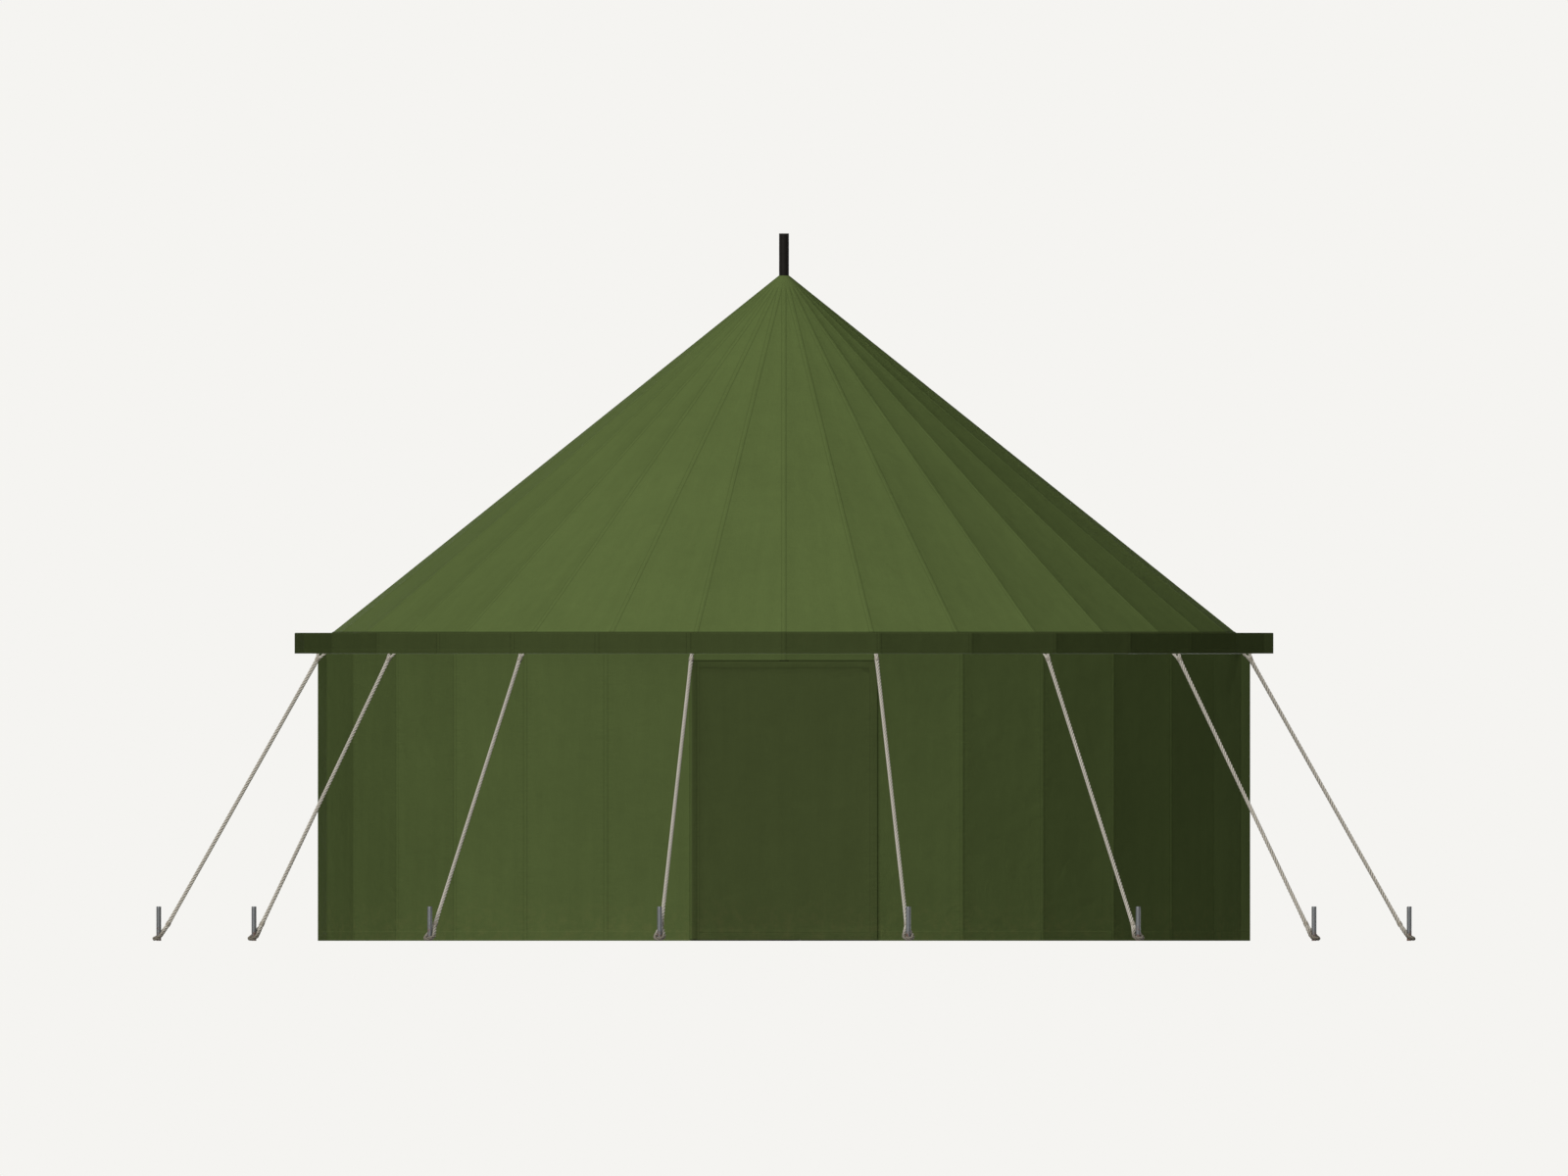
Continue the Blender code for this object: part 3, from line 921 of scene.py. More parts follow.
def build_wall(canvas, name, first_corner, panels, bottom=0.0, door_at_start=False, door_at_end=False):
    """One length of wall: panels between felled seams, with hems at head and foot and beside the door."""
    foot_hem = min(FOOT_HEM, (WALL_TOP - bottom) * FOOT_HEM_SHARE)
    head_hem = min(HEAD_HEM, (WALL_TOP - bottom) * HEAD_HEM_SHARE)
    spacings = (0.020, 0.042, 0.0125)
    heights = hemmed_steps(WALL_TOP, WALL_TOP - head_hem, bottom + foot_hem, bottom, spacings)
    seams = [canvas.seam_half_width] * (panels + 1)
    if door_at_start:
        seams[0] = DOOR_HEM
    if door_at_end:
        seams[-1] = DOOR_HEM
    run = CanvasRun([(WALL_RADIUS, z) for z in heights], first_corner, seams)
    hem = (heights < bottom + foot_hem + NEARLY) | (heights > WALL_TOP - head_hem - NEARLY)
    doubled = run.doubled(hem.astype(float))
    outside = doubled.copy()
    if door_at_start:
        outside[:, 0, :2] = 0
    if door_at_end:
        outside[:, -1, -2:] = 0
    hang = ramp(heights, WALL_TOP, WALL_TOP - WALL_HELD_AT_HEAD)
    hang = hang * ramp(heights, bottom - WALL_HELD_AT_FOOT, bottom + WALL_HELD_AT_FOOT)
    folds = run.waves(height=0.0016, across_size=0.085, along_size=0.80, seed=2.7, shift=5.3)
    drags = run.waves(height=0.0028, across_size=0.24, along_size=0.42, seed=7.7, shift=9.01)
    depth = run.sag(canvas.wall_sag, seed=first_corner, low=0.5, high=1.5)
    outer = canvas.seam_raise * outside + run.across_dip * hang[:, None, None] * (folds + drags - depth)
    inner = outer - canvas.thickness * (1 + doubled)
    foot_edge = float(run.along[-1]) - foot_hem
    hems = [(foot_edge, float(run.along[-1]), foot_edge), (0.0, head_hem, head_hem)]
    mesh = run.mesh(name, outer, inner, hems, run.per_panel(first_corner + 50, 0.975, 1.025))
    piece = add_piece(name + "_canvas", mesh, "root", "wall_canvas", name)


def build_walls(canvas):
    for section in range(SECTION_COUNT):
        build_wall(
            canvas,
            f"wall_section_{section + 1}",
            DOOR_RIGHT_CORNER + section * SECTION_PANELS,
            SECTION_PANELS,
            door_at_start=section == 0,
            door_at_end=section == SECTION_COUNT - 1,
        )
    build_wall(
        canvas, "wall_over_door", DOOR_LEFT_CORNER, DOOR_RIGHT_CORNER - DOOR_LEFT_CORNER, bottom=DOOR_HEAD
    )


def round_the_loop(values):
    """Values at the four corners of every face between two rows of loops."""
    beside = np.roll(values, -1, axis=1)
    return np.stack([values[:-1], values[1:], beside[1:], beside[:-1]], axis=2)


def wrapped_cloth(name, loops, columns, distance, stitch, seam_distance, sharp_degrees):
    """A closed shell of rows of closed loops about the hinge, from the lowest up.

    A loop's first and last columns are the cloth's two faces, edge to edge, and what lies between them
    is a round edge. distance is each point's way along the cloth, for the weave.
    """
    rows, count = loops.shape[:2]
    index = np.arange(rows * count).reshape(rows, count)
    heights = loops[:, :, 2]
    faces = round_the_loop(index).reshape(-1, 4).tolist()
    weave = np.stack([round_the_loop(distance), round_the_loop(heights)], axis=3).reshape(-1, 2).tolist()
    stitch = stitch.reshape(-1, 2).tolist()
    for row, flip in ((0, True), (rows - 1, False)):
        caps = [[k, count - 1 - k, count - 2 - k, k + 1] for k in range(columns - 1)]
        if count > 2 * columns:
            caps.append(list(range(count - columns, columns - 2, -1)))
        for cap in caps:
            around = cap[::-1] if flip else cap
            faces.append([int(index[row, k]) for k in around])
            weave.extend((distance[row, k], heights[row, k]) for k in around)
            stitch.extend([(NO_STITCH, 0.0)] * len(around))
    mesh = new_mesh(name, (loops.reshape(-1, 3) + np.array(HINGE)).tolist(), faces)
    add_layout(mesh, "weave", weave)
    add_layout(mesh, "stitch", stitch)
    add_values(mesh, "seam_distance", "POINT", seam_distance.ravel())
    add_values(mesh, "panel_tone", "FACE", np.full(len(faces), DOOR_TONE))
    smooth(mesh, sharp_degrees)
    return mesh


def build_door(canvas):
    """A flap with a hem on three sides and a rolled hem down its hinge edge, laid out from the hinge."""
    low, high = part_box("door_flap")
    reach = high.x - HINGE.x
    tall = high.z - low.z
    spacings = (0.0175, 0.034, 0.0175)
    heights = hemmed_steps(low.z, low.z + DOOR_HEM, high.z - DOOR_HEM, high.z, spacings)
    spacings = (0.0175, 0.040, 0.0105)
    distances = hemmed_steps(reach, reach - DOOR_HEM, ROLL_HEM, ROLL_START, spacings)
    at_foot = heights < low.z + DOOR_HEM + NEARLY
    at_head = heights > high.z - DOOR_HEM - NEARLY
    at_side = (distances > reach - DOOR_HEM - NEARLY) | (distances < ROLL_HEM + NEARLY)
    # The leaf, whose free edge is cut back towards the head, and which bows and waves away from the hinge
    cut_back = ramp(heights, high.z - DOOR_TAPER_HEIGHT, high.z) * DOOR_TAPER_WIDTH
    x = distances[None, :] * (1 - cut_back[:, None] / reach)
    z = np.broadcast_to(heights[:, None], x.shape)
    billow = np.sin(ramp(x, 0, reach) * math.pi) * np.sin((z - low.z) / tall * math.pi)
    waves = lumps(x, z, seed=4.4, across_size=0.13, along_size=0.70) * 0.0030
    waves = waves + lumps(x, z, seed=9.6, across_size=0.36, along_size=0.50) * 0.0040
    free = ramp(x, 0, DOOR_HELD_AT_HINGE) ** 2
    at_edge = np.where(distances > reach - NEARLY, DOOR_EDGE_SHARE, 1.0)
    bow = free * (waves - DOOR_BILLOW * billow) * at_edge
    hemmed = (at_foot | at_head)[:, None] | at_side[None, :]
    half_thick = canvas.thickness / 2 + canvas.seam_raise * DOOR_HEM_SHARE * hemmed

    # The rolled hem, which the leaf's two faces run into
    join = math.asin(float(half_thick[0, -1]) / ROLL_RADIUS)
    turn = np.linspace(-join, join - math.tau, ROLL_COLUMNS)
    angles = np.broadcast_to(turn, (len(heights), len(turn)))
    along = np.broadcast_to(heights[:, None], angles.shape)
    dents = 1 + lumps(angles, along, seed=3.3, across_size=1.2, along_size=0.05)
    roll = ROLL_RADIUS * (1 - ROLL_DENTS * dents)
    front = np.stack([x, bow - half_thick, z], axis=2)
    round_edge = np.stack([roll * np.cos(angles), roll * np.sin(angles), along], axis=2)
    back = np.stack([x, bow + half_thick, z], axis=2)
    loops = np.concatenate([front, round_edge, back[:, ::-1]], axis=1)

    # The weave, the stitches along the hems, and the distance from them
    row = np.concatenate([distances, 0 * turn, distances[::-1]])
    distance = np.broadcast_to(row, loops.shape[:2])
    across = round_the_loop(distance)
    up = round_the_loop(loops[:, :, 2])
    stitch = unstitched(across.shape)
    on_roll = (across.max(2) < ROLL_HEM + NEARLY) & (across.min(2) > 0.001)
    stitch[on_roll] = np.stack([ROLL_HEM - across, up], axis=3)[on_roll]
    on_side = across.min(2) > reach - DOOR_HEM - NEARLY
    stitch[on_side] = np.stack([across - (reach - DOOR_HEM), up], axis=3)[on_side]
    for at_end, edge in ((at_foot, low.z + DOOR_HEM), (at_head, high.z - DOOR_HEM)):
        rows = at_end[1:] & at_end[:-1]
        stitch[rows] = np.stack([np.abs(up - edge), across], axis=3)[rows]
    from_edge = np.minimum(reach - x, np.minimum(z - low.z, high.z - z))
    nearest = np.minimum(x, from_edge + canvas.seam_half_width - DOOR_HEM)
    nearest = np.concatenate([nearest, 0 * angles, nearest[:, ::-1]], axis=1)
    mesh = wrapped_cloth("door_flap", loops, len(distances), distance, stitch, nearest, 25)
    piece = add_piece("door_flap_canvas", mesh, "door", "dark_canvas", "door_flap")


def strip_path():
    """The hinge strip's inner face in plan, about the hinge, and where it meets and leaves the roll.

    It runs from the wall over the rolled hem to the leaf.
    """
    out = circle((DOOR_LEFT_CORNER - 0.5) * STEP)
    west = np.array([out[1], -out[0]])
    corner = WALL_RADIUS * circle(DOOR_LEFT_CORNER * STEP)
    wall_face = float((corner - np.array(HINGE.xy)) @ out)
    on_wall = west * STRIP_WALL_REACH + out * (wall_face + STRIP_GAP)
    wall_end = on_wall + west * STRIP_FLANGE
    on_leaf = np.array([STRIP_LEAF_REACH, LEAF_FACE - STRIP_GAP])
    leaf_end = on_leaf + np.array([STRIP_FLANGE, 0.0])
    radius = ROLL_RADIUS + STRIP_GAP
    start = math.atan2(on_wall[1], on_wall[0]) % math.tau + math.acos(radius / np.hypot(*on_wall))
    end = math.atan2(on_leaf[1], on_leaf[0]) % math.tau - math.acos(radius / np.hypot(*on_leaf))
    arc = list(radius * circle(np.linspace(start, end, 9)))

    def quarters(stations, shares):
        return [p + (q - p) * t for p, q in zip(stations, stations[1:]) for t in shares]

    path = quarters([wall_end, on_wall, arc[0]], (0.0, 0.25, 0.5, 0.75))
    path += arc
    path += quarters([arc[-1], on_leaf, leaf_end], (0.25, 0.5, 0.75, 1.0))
    return np.array(path), arc[0], arc[-1]


def travel(points):
    """Each point's way along the line through the points."""
    return np.concatenate(([0.0], np.cumsum(np.linalg.norm(np.diff(points, axis=0), axis=1))))


def directions(points):
    """The line's direction at each point."""
    tangents = np.gradient(points, axis=0)
    return tangents / np.linalg.norm(tangents, axis=1)[:, None]


def build_hinge_strip(canvas):
    """A strip sewn to the wall and to the leaf over the rolled hem, of wall canvas up to the door."""
    low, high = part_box("door_flap")
    path, root_side, leaf_side = strip_path()
    tangent = directions(path)
    outwards = np.column_stack([tangent[:, 1], -tangent[:, 0]])
    travelled = travel(path)
    heights = spread(low.z + STRIP_INSET, high.z - STRIP_INSET, 0.016)
    width = float(travelled[-1])
    edge = np.minimum(travelled, width - travelled)
    across_strip, up_strip = np.meshgrid(travelled, heights)
    pucker = lumps(across_strip, up_strip, seed=6.1, across_size=0.02, along_size=0.035)
    lift = STRIP_LIFT * ramp(edge, STRIP_FLANGE, 2 * STRIP_FLANGE) * (1 + pucker)
    outer, inner = (
        np.dstack([path + outwards * (lift + offset)[:, :, None], up_strip])
        for offset in (STRIP_THICKNESS, 0.0)
    )
    loops = np.concatenate([outer[:, ::-1], inner], axis=1)
    row = np.concatenate([travelled[::-1], travelled])
    distance = np.broadcast_to(row, loops.shape[:2])
    from_edge = np.minimum(distance, width - distance)
    across = round_the_loop(from_edge)
    stitch = np.stack([across, round_the_loop(loops[:, :, 2])], axis=3)
    stitch[across.max(2) > STRIP_FLANGE + NEARLY, :, 0] = NO_STITCH
    mesh = wrapped_cloth("hinge_strip", loops, len(path), distance, stitch, from_edge, 30)
    piece = add_piece(
        "door_hinge_strip", mesh, None, "dark_canvas", material_slots=("wall_canvas", "dark_canvas")
    )
    for face in mesh.polygons:
        face.material_index = int(face.center.x > DOOR_LEFT_EDGE)
    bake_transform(piece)


# Guys, pegs and pole


def smooth_route(points, spacing):
    """Points at even steps on a smooth curve through the given ones, and each one's way along it."""
    points = [Vector(p) for p in points]
    ends = [points[0] * 2 - points[1], *points, points[-1] * 2 - points[-2]]
    fine = []
    for before, start, end, after in zip(ends, ends[1:], ends[2:], ends[3:]):
        pieces = max(2, math.ceil((end - start).length / spacing * 2))
        for i in range(pieces):
            fine.append(curve_point(before, start, end, after, i / pieces))
    fine.append(points[-1])
    route = np.array(fine)
    travelled = travel(route)
    wanted = np.linspace(0, travelled[-1], round(travelled[-1] / spacing) + 1)
    return np.column_stack([np.interp(wanted, travelled, route[:, axis]) for axis in range(3)]), wanted


def curve_point(before, start, end, after, share):
    """A point of the centripetal curve from start to end."""
    knots = [0.0]
    for a, b in ((before, start), (start, end), (end, after)):
        knots.append(knots[-1] + max((b - a).length, 1e-9) ** 0.5)
    t = knots[1] + (knots[2] - knots[1]) * share

    def blend(a, b, ta, tb):
        return a * ((tb - t) / (tb - ta)) + b * ((t - ta) / (tb - ta))

    first = blend(before, start, knots[0], knots[1])
    second = blend(start, end, knots[1], knots[2])
    third = blend(end, after, knots[2], knots[3])
    near = blend(first, second, knots[0], knots[2])
    far = blend(second, third, knots[1], knots[3])
    return blend(near, far, knots[1], knots[2])


def carried_frames(route):
    """Two directions square to the route at each point, carried along it without twist."""
    tangents = directions(route)
    side = Vector((0, 1, 0))
    sides = []
    for tangent in map(Vector, tangents):
        side = (side - tangent * side.dot(tangent)).normalized()
        sides.append(side.copy())
    sides = np.array(sides)
    return sides, np.cross(tangents, sides)


def guy_route():
    """The way of a guy that runs out along +X: upper eye, taut run and lower eye round the peg.

    It comes with the throats of the two eyes and the direction from one to the other.
    """
    hoop = Vector((HOOP_RADIUS, 0, HOOP_HEIGHT))
    foot = Vector((PEG_CIRCLE, 0, 0))
    down = (foot - hoop).normalized()
    outward = Vector((-down.z, 0, down.x))
    throat = hoop + down * EYE_THROAT
    touch = math.acos(EYE_RADIUS / EYE_THROAT)
    points = [throat + down * 0.020, throat + down * 0.004 + outward * 0.003]
    for angle in np.linspace(touch, math.tau - touch, 13):
        points.append(hoop + (down * math.cos(angle) + outward * math.sin(angle)) * EYE_RADIUS)
    points += [throat + down * 0.004 - outward * 0.003, throat + down * 0.020, throat + down * 0.045]
    lower = hoop + down * ((LOWER_EYE_CIRCLE - hoop.x) / down.x)
    points += [lower - down * 0.060, lower - down * 0.024, lower]
    # Round the peg: half the loop, and its mirror image on the way back
    points += [foot + Vector(p) for p in HALF_ROUND_PEG]
    points += [foot + Vector((x, -y, z)) for x, y, z in HALF_ROUND_PEG[-2::-1]]
    points += [lower + Vector((0.002, -0.003, -0.004)), lower - down * 0.020]
    return points, throat, lower, down


def build_rope_mesh(name, rope, turn, phase):
    """A three-strand rope with an eye at each end, each spliced and whipped with twine."""
    points, throat, lower, down = guy_route()
    route, travelled = smooth_route(points, rope.lay / STEPS_PER_LAY)
    sides, ups = carried_frames(route)
    from_top = np.linalg.norm(route - np.array(throat), axis=1)
    from_lower = np.linalg.norm(route - np.array(lower), axis=1)
    run = (route - np.array(throat)) @ np.array(down)
    taut = (run > 0) & (run < (lower - throat).length)
    splices = ramp(from_top, SPLICE_LENGTH, 0) + ramp(from_lower, SPLICE_LENGTH, 0)
    in_eye = ramp(run, 0, -THINNING_LENGTH)
    scale = np.where(taut, 1 + SPLICE_SWELL * splices, 1.0) * (1 - EYE_THINNING * in_eye)
    for end, inside in ((0, TAPER_LENGTH), (travelled[-1], travelled[-1] - TAPER_LENGTH)):
        scale = scale * np.maximum(ramp(travelled, end, inside), TAPER_END)

    # The outline of three strands side by side, turned along the rope
    around = np.arange(TUBE_SIDES) * math.tau / TUBE_SIDES
    strand = STRAND_SHARE * rope.radius
    centre = rope.radius - strand
    lobe_angle = (around + math.pi / 3) % (math.tau / 3) - math.pi / 3
    reach = centre * np.cos(lobe_angle) + np.sqrt(strand**2 - (centre * np.sin(lobe_angle)) ** 2)
    # How deep each point lies in the hollow between two strands, which sets the painted shade there
    groove = (reach.max() - reach) / (reach.max() - reach.min())
    twist = travelled / rope.lay * math.tau + phase
    angle = around[None, :] + twist[:, None]
    radius = reach[None, :] * scale[:, None]
    aside = sides[:, None] * (radius * np.cos(angle))[..., None]
    rings = route[:, None] + aside + ups[:, None] * (radius * np.sin(angle))[..., None]
    fit = rope.radius * WHIPPING_FIT
    tubes = [
        (rings, travelled, np.broadcast_to(groove, radius.shape), 0),
        (*whipping(throat - down * 0.003, down, fit), 1),
        (*whipping(lower + down * 0.003, -down, fit), 1),
    ]
    return tube_mesh(name, turn, tubes)


def whipping(start, direction, radius):
    """Turns of twine round a splice, as one ribbed sleeve."""
    steps = np.arange(WHIPPING_TURNS * 4 + 1)
    place = steps * TWINE / 4
    rib = radius + TWINE_BULGE * np.abs(np.sin(steps * math.pi / 4))
    rib[[0, -1]] = radius * WHIPPING_END
    side = direction.cross(Vector((0, 1, 0))).normalized()
    other = direction.cross(side)
    angle = np.arange(TUBE_SIDES) * math.tau / TUBE_SIDES
    spokes = np.outer(np.cos(angle), side) + np.outer(np.sin(angle), other)
    points = np.array(start) + place[:, None, None] * np.array(direction) + rib[:, None, None] * spokes
    # Painted shade in the gaps between the turns of twine
    groove_shading = np.where(steps % 4 == 0, 1.0, 0.2)
    return points, place, np.broadcast_to(groove_shading[:, None], points.shape[:2])


def tube_mesh(name, turn, tubes):
    """A mesh of tubes, each given by rings of points, their way along it, its painted shade in the
    hollows and its finish.
    """
    points, faces, lay, groove_shading, finishes = [], [], [], [], []
    for rings, travelled, groove, finish in tubes:
        count, sides = rings.shape[:2]
        index, quads = ring_quads(rings, len(points))
        near = np.arange(sides) / sides
        far = near + 1 / sides
        below, above = travelled[:-1], travelled[1:]
        turned = np.tile(np.stack([near, far, far, near], axis=1), (count - 1, 1))
        along = np.repeat(np.stack([below, below, above, above], axis=1), sides, axis=0)
        points += rings.reshape(-1, 3).tolist()
        groove_shading += groove.ravel().tolist()
        faces += [*quads, index[0, ::-1].tolist(), index[-1].tolist()]
        lay += np.dstack([turned, along]).reshape(-1, 2).tolist()
        lay += [(0.5, travelled[0])] * sides + [(0.5, travelled[-1])] * sides
        finishes += [finish] * (len(quads) + 2)
    made = new_mesh(name, points, faces)
    add_layout(made, "lay", lay)
    add_values(made, "groove", "POINT", groove_shading)
    made.polygons.foreach_set("material_index", finishes)
    made.transform(Matrix.Rotation(turn, 4, "Z"))
    smooth(made, 60)
    return made


def guy_turn(number):
    return (DOOR_RIGHT_CORNER + number * CORNERS_PER_GUY) * STEP


def build_ropes(rope):
    for number in range(GUY_COUNT):
        name = f"guy_rope_{number + 1:02d}"
        mesh = build_rope_mesh(name, rope, guy_turn(number), number * LAY_SHIFT)
        add_piece(name + "_laid", mesh, "root", "rope", name, material_slots=("rope", "twine"))


def build_pegs():
    """Round steel stakes with a hammered, chamfered head."""
    chamfer = 0.0016
    outline = [
        (0, 0.0),
        (PEG_RADIUS - 0.0008, 0.0),
        (PEG_RADIUS, 0.0008),
        *[(PEG_RADIUS, z) for z in spread(0.02, PEG_HEIGHT - 0.016, 0.035)],
        (PEG_RADIUS, PEG_HEIGHT - chamfer),
        (PEG_RADIUS - 0.0005, PEG_HEIGHT - 0.0005),
        (PEG_RADIUS - chamfer, PEG_HEIGHT),
        (PEG_RADIUS * 0.5, PEG_HEIGHT - 0.0003),
        (0, PEG_HEIGHT - 0.0004),
    ]
    for number in range(GUY_COUNT):
        name = f"peg_{number + 1:02d}"
        mesh = lathe(name, outline, 32)
        mesh.transform(Matrix.Rotation(guy_turn(number), 4, "Z") @ Matrix.Translation((PEG_CIRCLE, 0, 0)))
        add_piece(name + "_stake", mesh, "root", "peg_steel", name)


def build_pole():
    """A painted tube welded to a round base plate, with a plug in its top."""
    wall = 0.003
    bead = 0.0045
    chamfer = 0.0010
    outline = [
        (0, 0.0),
        (PLATE_RADIUS - chamfer, 0.0),
        (PLATE_RADIUS, chamfer),
        (PLATE_RADIUS, PLATE_HEIGHT - chamfer),
        (PLATE_RADIUS - chamfer, PLATE_HEIGHT),
        (POLE_RADIUS + bead, PLATE_HEIGHT),
        (POLE_RADIUS + bead * 0.62, PLATE_HEIGHT + bead * 0.62),
        (POLE_RADIUS, PLATE_HEIGHT + bead),
        *[(POLE_RADIUS, z) for z in spread(0.15, POLE_TOP - 0.15, 0.35)],
        (POLE_RADIUS, POLE_TOP - chamfer),
        (POLE_RADIUS - chamfer, POLE_TOP),
        (POLE_RADIUS - wall, POLE_TOP),
        (POLE_RADIUS - wall, POLE_TOP - 0.002),
        (POLE_RADIUS * 0.5, POLE_TOP - 0.0012),
        (0, POLE_TOP - 0.001),
    ]
    mesh = lathe("centre_pole", outline, 64)
    add_piece("centre_pole_tube", mesh, "root", "pole_paint", "centre_pole")


def finish_frame_nodes():
    """Gives the cone and the hoops, which stay as the frame has them, their finishes."""
    slots = {"peak_cone": "pole_paint", "eave_hoop_left": "hoop_steel", "eave_hoop_right": "hoop_steel"}
    for node, slot in slots.items():
        piece = frame["nodes"][node]
        piece.data.materials.clear()
        piece.data.materials.append(material_for(slot))


# Stage


def add_sun(name, strength, azimuth, elevation, softness):
    """A sun that shines from the azimuth, counted from the front towards +X, and the elevation."""
    light = bpy.data.lights.new(name, "SUN")
    light.energy = strength
    light.angle = softness
    lamp = add_object(name, light)
    level = math.cos(elevation)
    towards = Vector((math.sin(azimuth) * level, -math.cos(azimuth) * level, math.sin(elevation)))
    lamp.rotation_euler = towards.to_track_quat("Z", "Y").to_euler()
    lamp.location = towards * LAMP_DISTANCE
    return lamp


def light_tent(stage):
    """The main light in two shares, the light from below at the back right and the one from behind.

    What overhangs the wall and the door throws no shadow on them in the main light, as in the photo.
    Its open share throws no shadows at all, and stands for the light that comes through the canvas.
    """
    key = (stage.key_azimuth, stage.key_elevation, stage.key_softness)
    main_light = add_sun("key", stage.key_strength * (1 - stage.open_share), *key)
    casters = bpy.data.collections.new("shadow_casters")
    for piece in bpy.context.scene.objects:
        if piece.type == "MESH" and not piece.name.startswith(NO_SHADOW):
            casters.objects.link(piece)
    main_light.light_linking.blocker_collection = casters
    open_light = add_sun("key_open", stage.key_strength * stage.open_share, *key)
    open_light.data.use_shadow = False
    add_sun("fill", stage.fill_strength, stage.fill_azimuth, stage.fill_elevation, stage.fill_softness)
    add_sun("rim", stage.rim_strength, stage.rim_azimuth, stage.rim_elevation, stage.rim_softness)


def build_world(stage):
    """Even, weak light all round, and the pale background that the camera sees."""
    world = bpy.data.worlds.new("studio")
    world.use_nodes = True
    tree = world.node_tree
    even = tree.nodes["Background"]
    even.inputs["Color"].default_value = (1.0, 1.0, 1.0, 1.0)
    even.inputs["Strength"].default_value = stage.ambient
    seen = tree.nodes.new("ShaderNodeBackground")
    seen.inputs["Color"].default_value = (*stage.background, 1.0)
    chooser = tree.nodes.new("ShaderNodeMixShader")
    path = tree.nodes.new("ShaderNodeLightPath")
    tree.links.new(path.outputs["Is Camera Ray"], chooser.inputs["Fac"])
    tree.links.new(even.outputs[0], chooser.inputs[1])
    tree.links.new(seen.outputs[0], chooser.inputs[2])
    tree.links.new(chooser.outputs[0], tree.nodes["World Output"].inputs["Surface"])
    bpy.context.scene.world = world
    bpy.context.scene.view_settings.view_transform = "Standard"


def build_floor(stage):
    """A plain floor that neither stops the light from below nor throws any back up at the canvas."""
    sides = 96
    angles = np.arange(sides) * math.tau / sides
    edge = np.column_stack([circle(angles), 0 * angles]) * stage.floor_radius
    mesh = new_mesh("floor", edge.tolist(), [tuple(range(sides))])
    mesh.materials.append(floor_finish("pale_floor", stage.floor_colour, stage.floor_glow))
    floor = add_object("floor", mesh)
    floor.visible_diffuse = False
    floor.visible_shadow = False


def build_camera(stage):
    """A level camera with no perspective, as in the photo."""
    data = bpy.data.cameras.new("camera")
    data.type = "ORTHO"
    data.ortho_scale = PHOTO_WIDTH * PIXEL
    data.clip_end = 1000
    camera = add_object("camera", data)
    height = (PHOTO_GROUND_LINE - PHOTO_HEIGHT / 2) * PIXEL
    camera.location = (0, -stage.camera_distance, height)
    camera.rotation_euler = (math.radians(90), 0, 0)
    bpy.context.scene.camera = camera


# Operators and panel


class TENT_OT_roof(bpy.types.Operator):
    """Make the roof canvas"""

    bl_idname = "tent.roof"
    bl_label = "Roof canvas"

    def execute(self, context):
        build_roof(context.scene.tent_canvas)
        return {"FINISHED"}


class TENT_OT_eave_band(bpy.types.Operator):
    """Make the band of darker canvas round the eave"""

    bl_idname = "tent.eave_band"
    bl_label = "Eave band"

    def execute(self, context):
        build_eave_band(context.scene.tent_canvas)
        return {"FINISHED"}


class TENT_OT_walls(bpy.types.Operator):
    """Make the wall canvas"""

    bl_idname = "tent.walls"
    bl_label = "Wall canvas"

    def execute(self, context):
        build_walls(context.scene.tent_canvas)
        return {"FINISHED"}


class TENT_OT_door(bpy.types.Operator):
    """Make the door flap and the strip over its hinge edge"""

    bl_idname = "tent.door"
    bl_label = "Door flap"

    def execute(self, context):
        build_door(context.scene.tent_canvas)
        build_hinge_strip(context.scene.tent_canvas)
        return {"FINISHED"}


class TENT_OT_guy_ropes(bpy.types.Operator):
    """Make the sixteen guy ropes"""

    bl_idname = "tent.guy_ropes"
    bl_label = "Guy ropes"

    def execute(self, context):
        build_ropes(context.scene.tent_rope)
        return {"FINISHED"}


class TENT_OT_pegs(bpy.types.Operator):
    """Make the sixteen pegs"""

    bl_idname = "tent.pegs"
    bl_label = "Pegs"

    def execute(self, context):
        build_pegs()
        return {"FINISHED"}


class TENT_OT_centre_pole(bpy.types.Operator):
    """Make the centre pole"""

    bl_idname = "tent.centre_pole"
    bl_label = "Centre pole"

    def execute(self, context):
        build_pole()
        return {"FINISHED"}


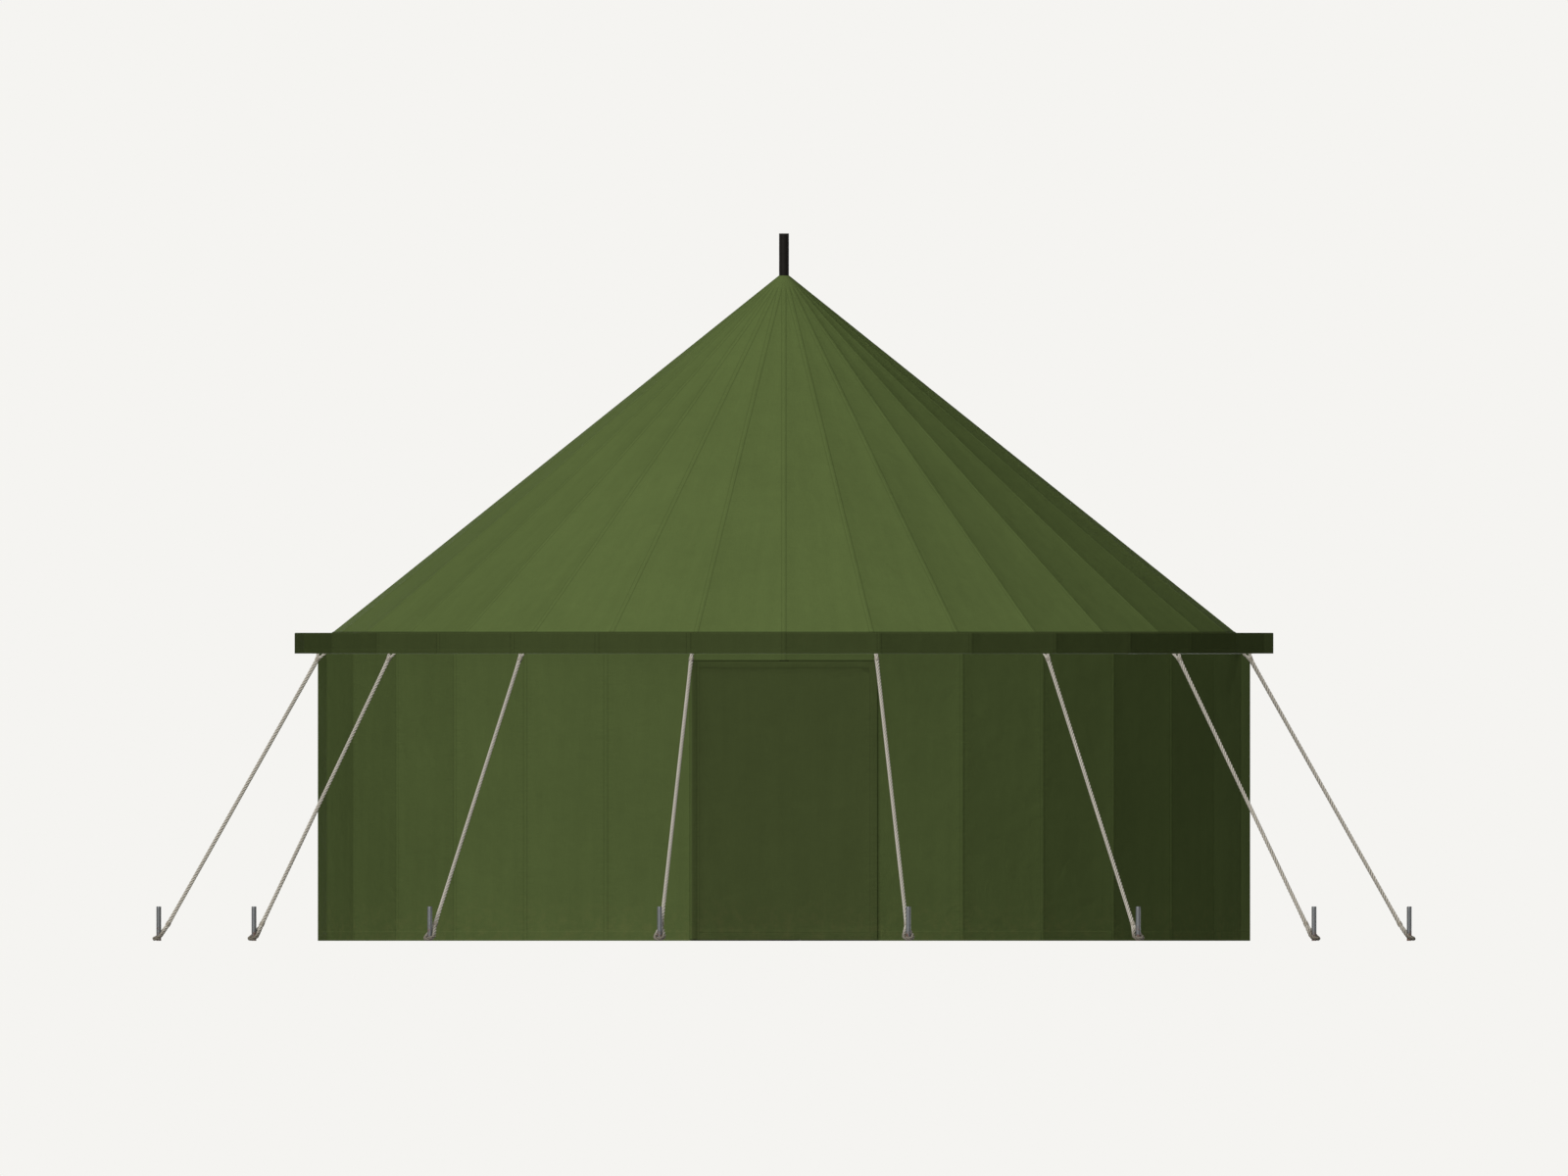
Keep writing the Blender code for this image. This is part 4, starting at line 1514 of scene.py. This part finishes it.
class TENT_OT_frame_finish(bpy.types.Operator):
    """Give the peak cone and the hoops their finishes"""

    bl_idname = "tent.frame_finish"
    bl_label = "Cone and hoops"

    def execute(self, context):
        finish_frame_nodes()
        return {"FINISHED"}


class TENT_OT_stage(bpy.types.Operator):
    """Set up the floor, the lights, the background and the camera"""

    bl_idname = "tent.stage"
    bl_label = "Stage"

    def execute(self, context):
        stage = context.scene.tent_stage
        build_world(stage)
        build_floor(stage)
        build_camera(stage)
        light_tent(stage)
        return {"FINISHED"}


OPERATORS = (
    TENT_OT_roof,
    TENT_OT_eave_band,
    TENT_OT_walls,
    TENT_OT_door,
    TENT_OT_guy_ropes,
    TENT_OT_pegs,
    TENT_OT_centre_pole,
    TENT_OT_frame_finish,
    TENT_OT_stage,
)
SETTINGS = {
    "tent_canvas": TentCanvasSettings,
    "tent_rope": TentRopeSettings,
    "tent_metal": TentMetalSettings,
    "tent_stage": TentStageSettings,
}


class TENT_PT_panel(bpy.types.Panel):
    """The tent's pieces and settings"""

    bl_label = "Round Army Tent"
    bl_space_type = "VIEW_3D"
    bl_region_type = "UI"
    bl_category = "Tent"

    def draw(self, context):
        pieces = self.layout.box()
        for operator in OPERATORS:
            pieces.operator(operator.bl_idname)
        for group in SETTINGS:
            box = self.layout.box()
            settings = getattr(context.scene, group)
            for name in settings.__annotations__:
                box.prop(settings, name)


CLASSES = (*SETTINGS.values(), *OPERATORS, TENT_PT_panel)


def register():
    for made in CLASSES:
        bpy.utils.register_class(made)
    for name, group in SETTINGS.items():
        setattr(bpy.types.Scene, name, PointerProperty(type=group))


def unregister():
    for name in SETTINGS:
        delattr(bpy.types.Scene, name)
    for made in reversed(CLASSES):
        bpy.utils.unregister_class(made)


def main():
    register()
    bpy.ops.tent.roof()
    bpy.ops.tent.eave_band()
    bpy.ops.tent.walls()
    bpy.ops.tent.door()
    bpy.ops.tent.guy_ropes()
    bpy.ops.tent.pegs()
    bpy.ops.tent.centre_pole()
    bpy.ops.tent.frame_finish()
    bpy.ops.tent.stage()


if __name__ == "__main__":
    main()
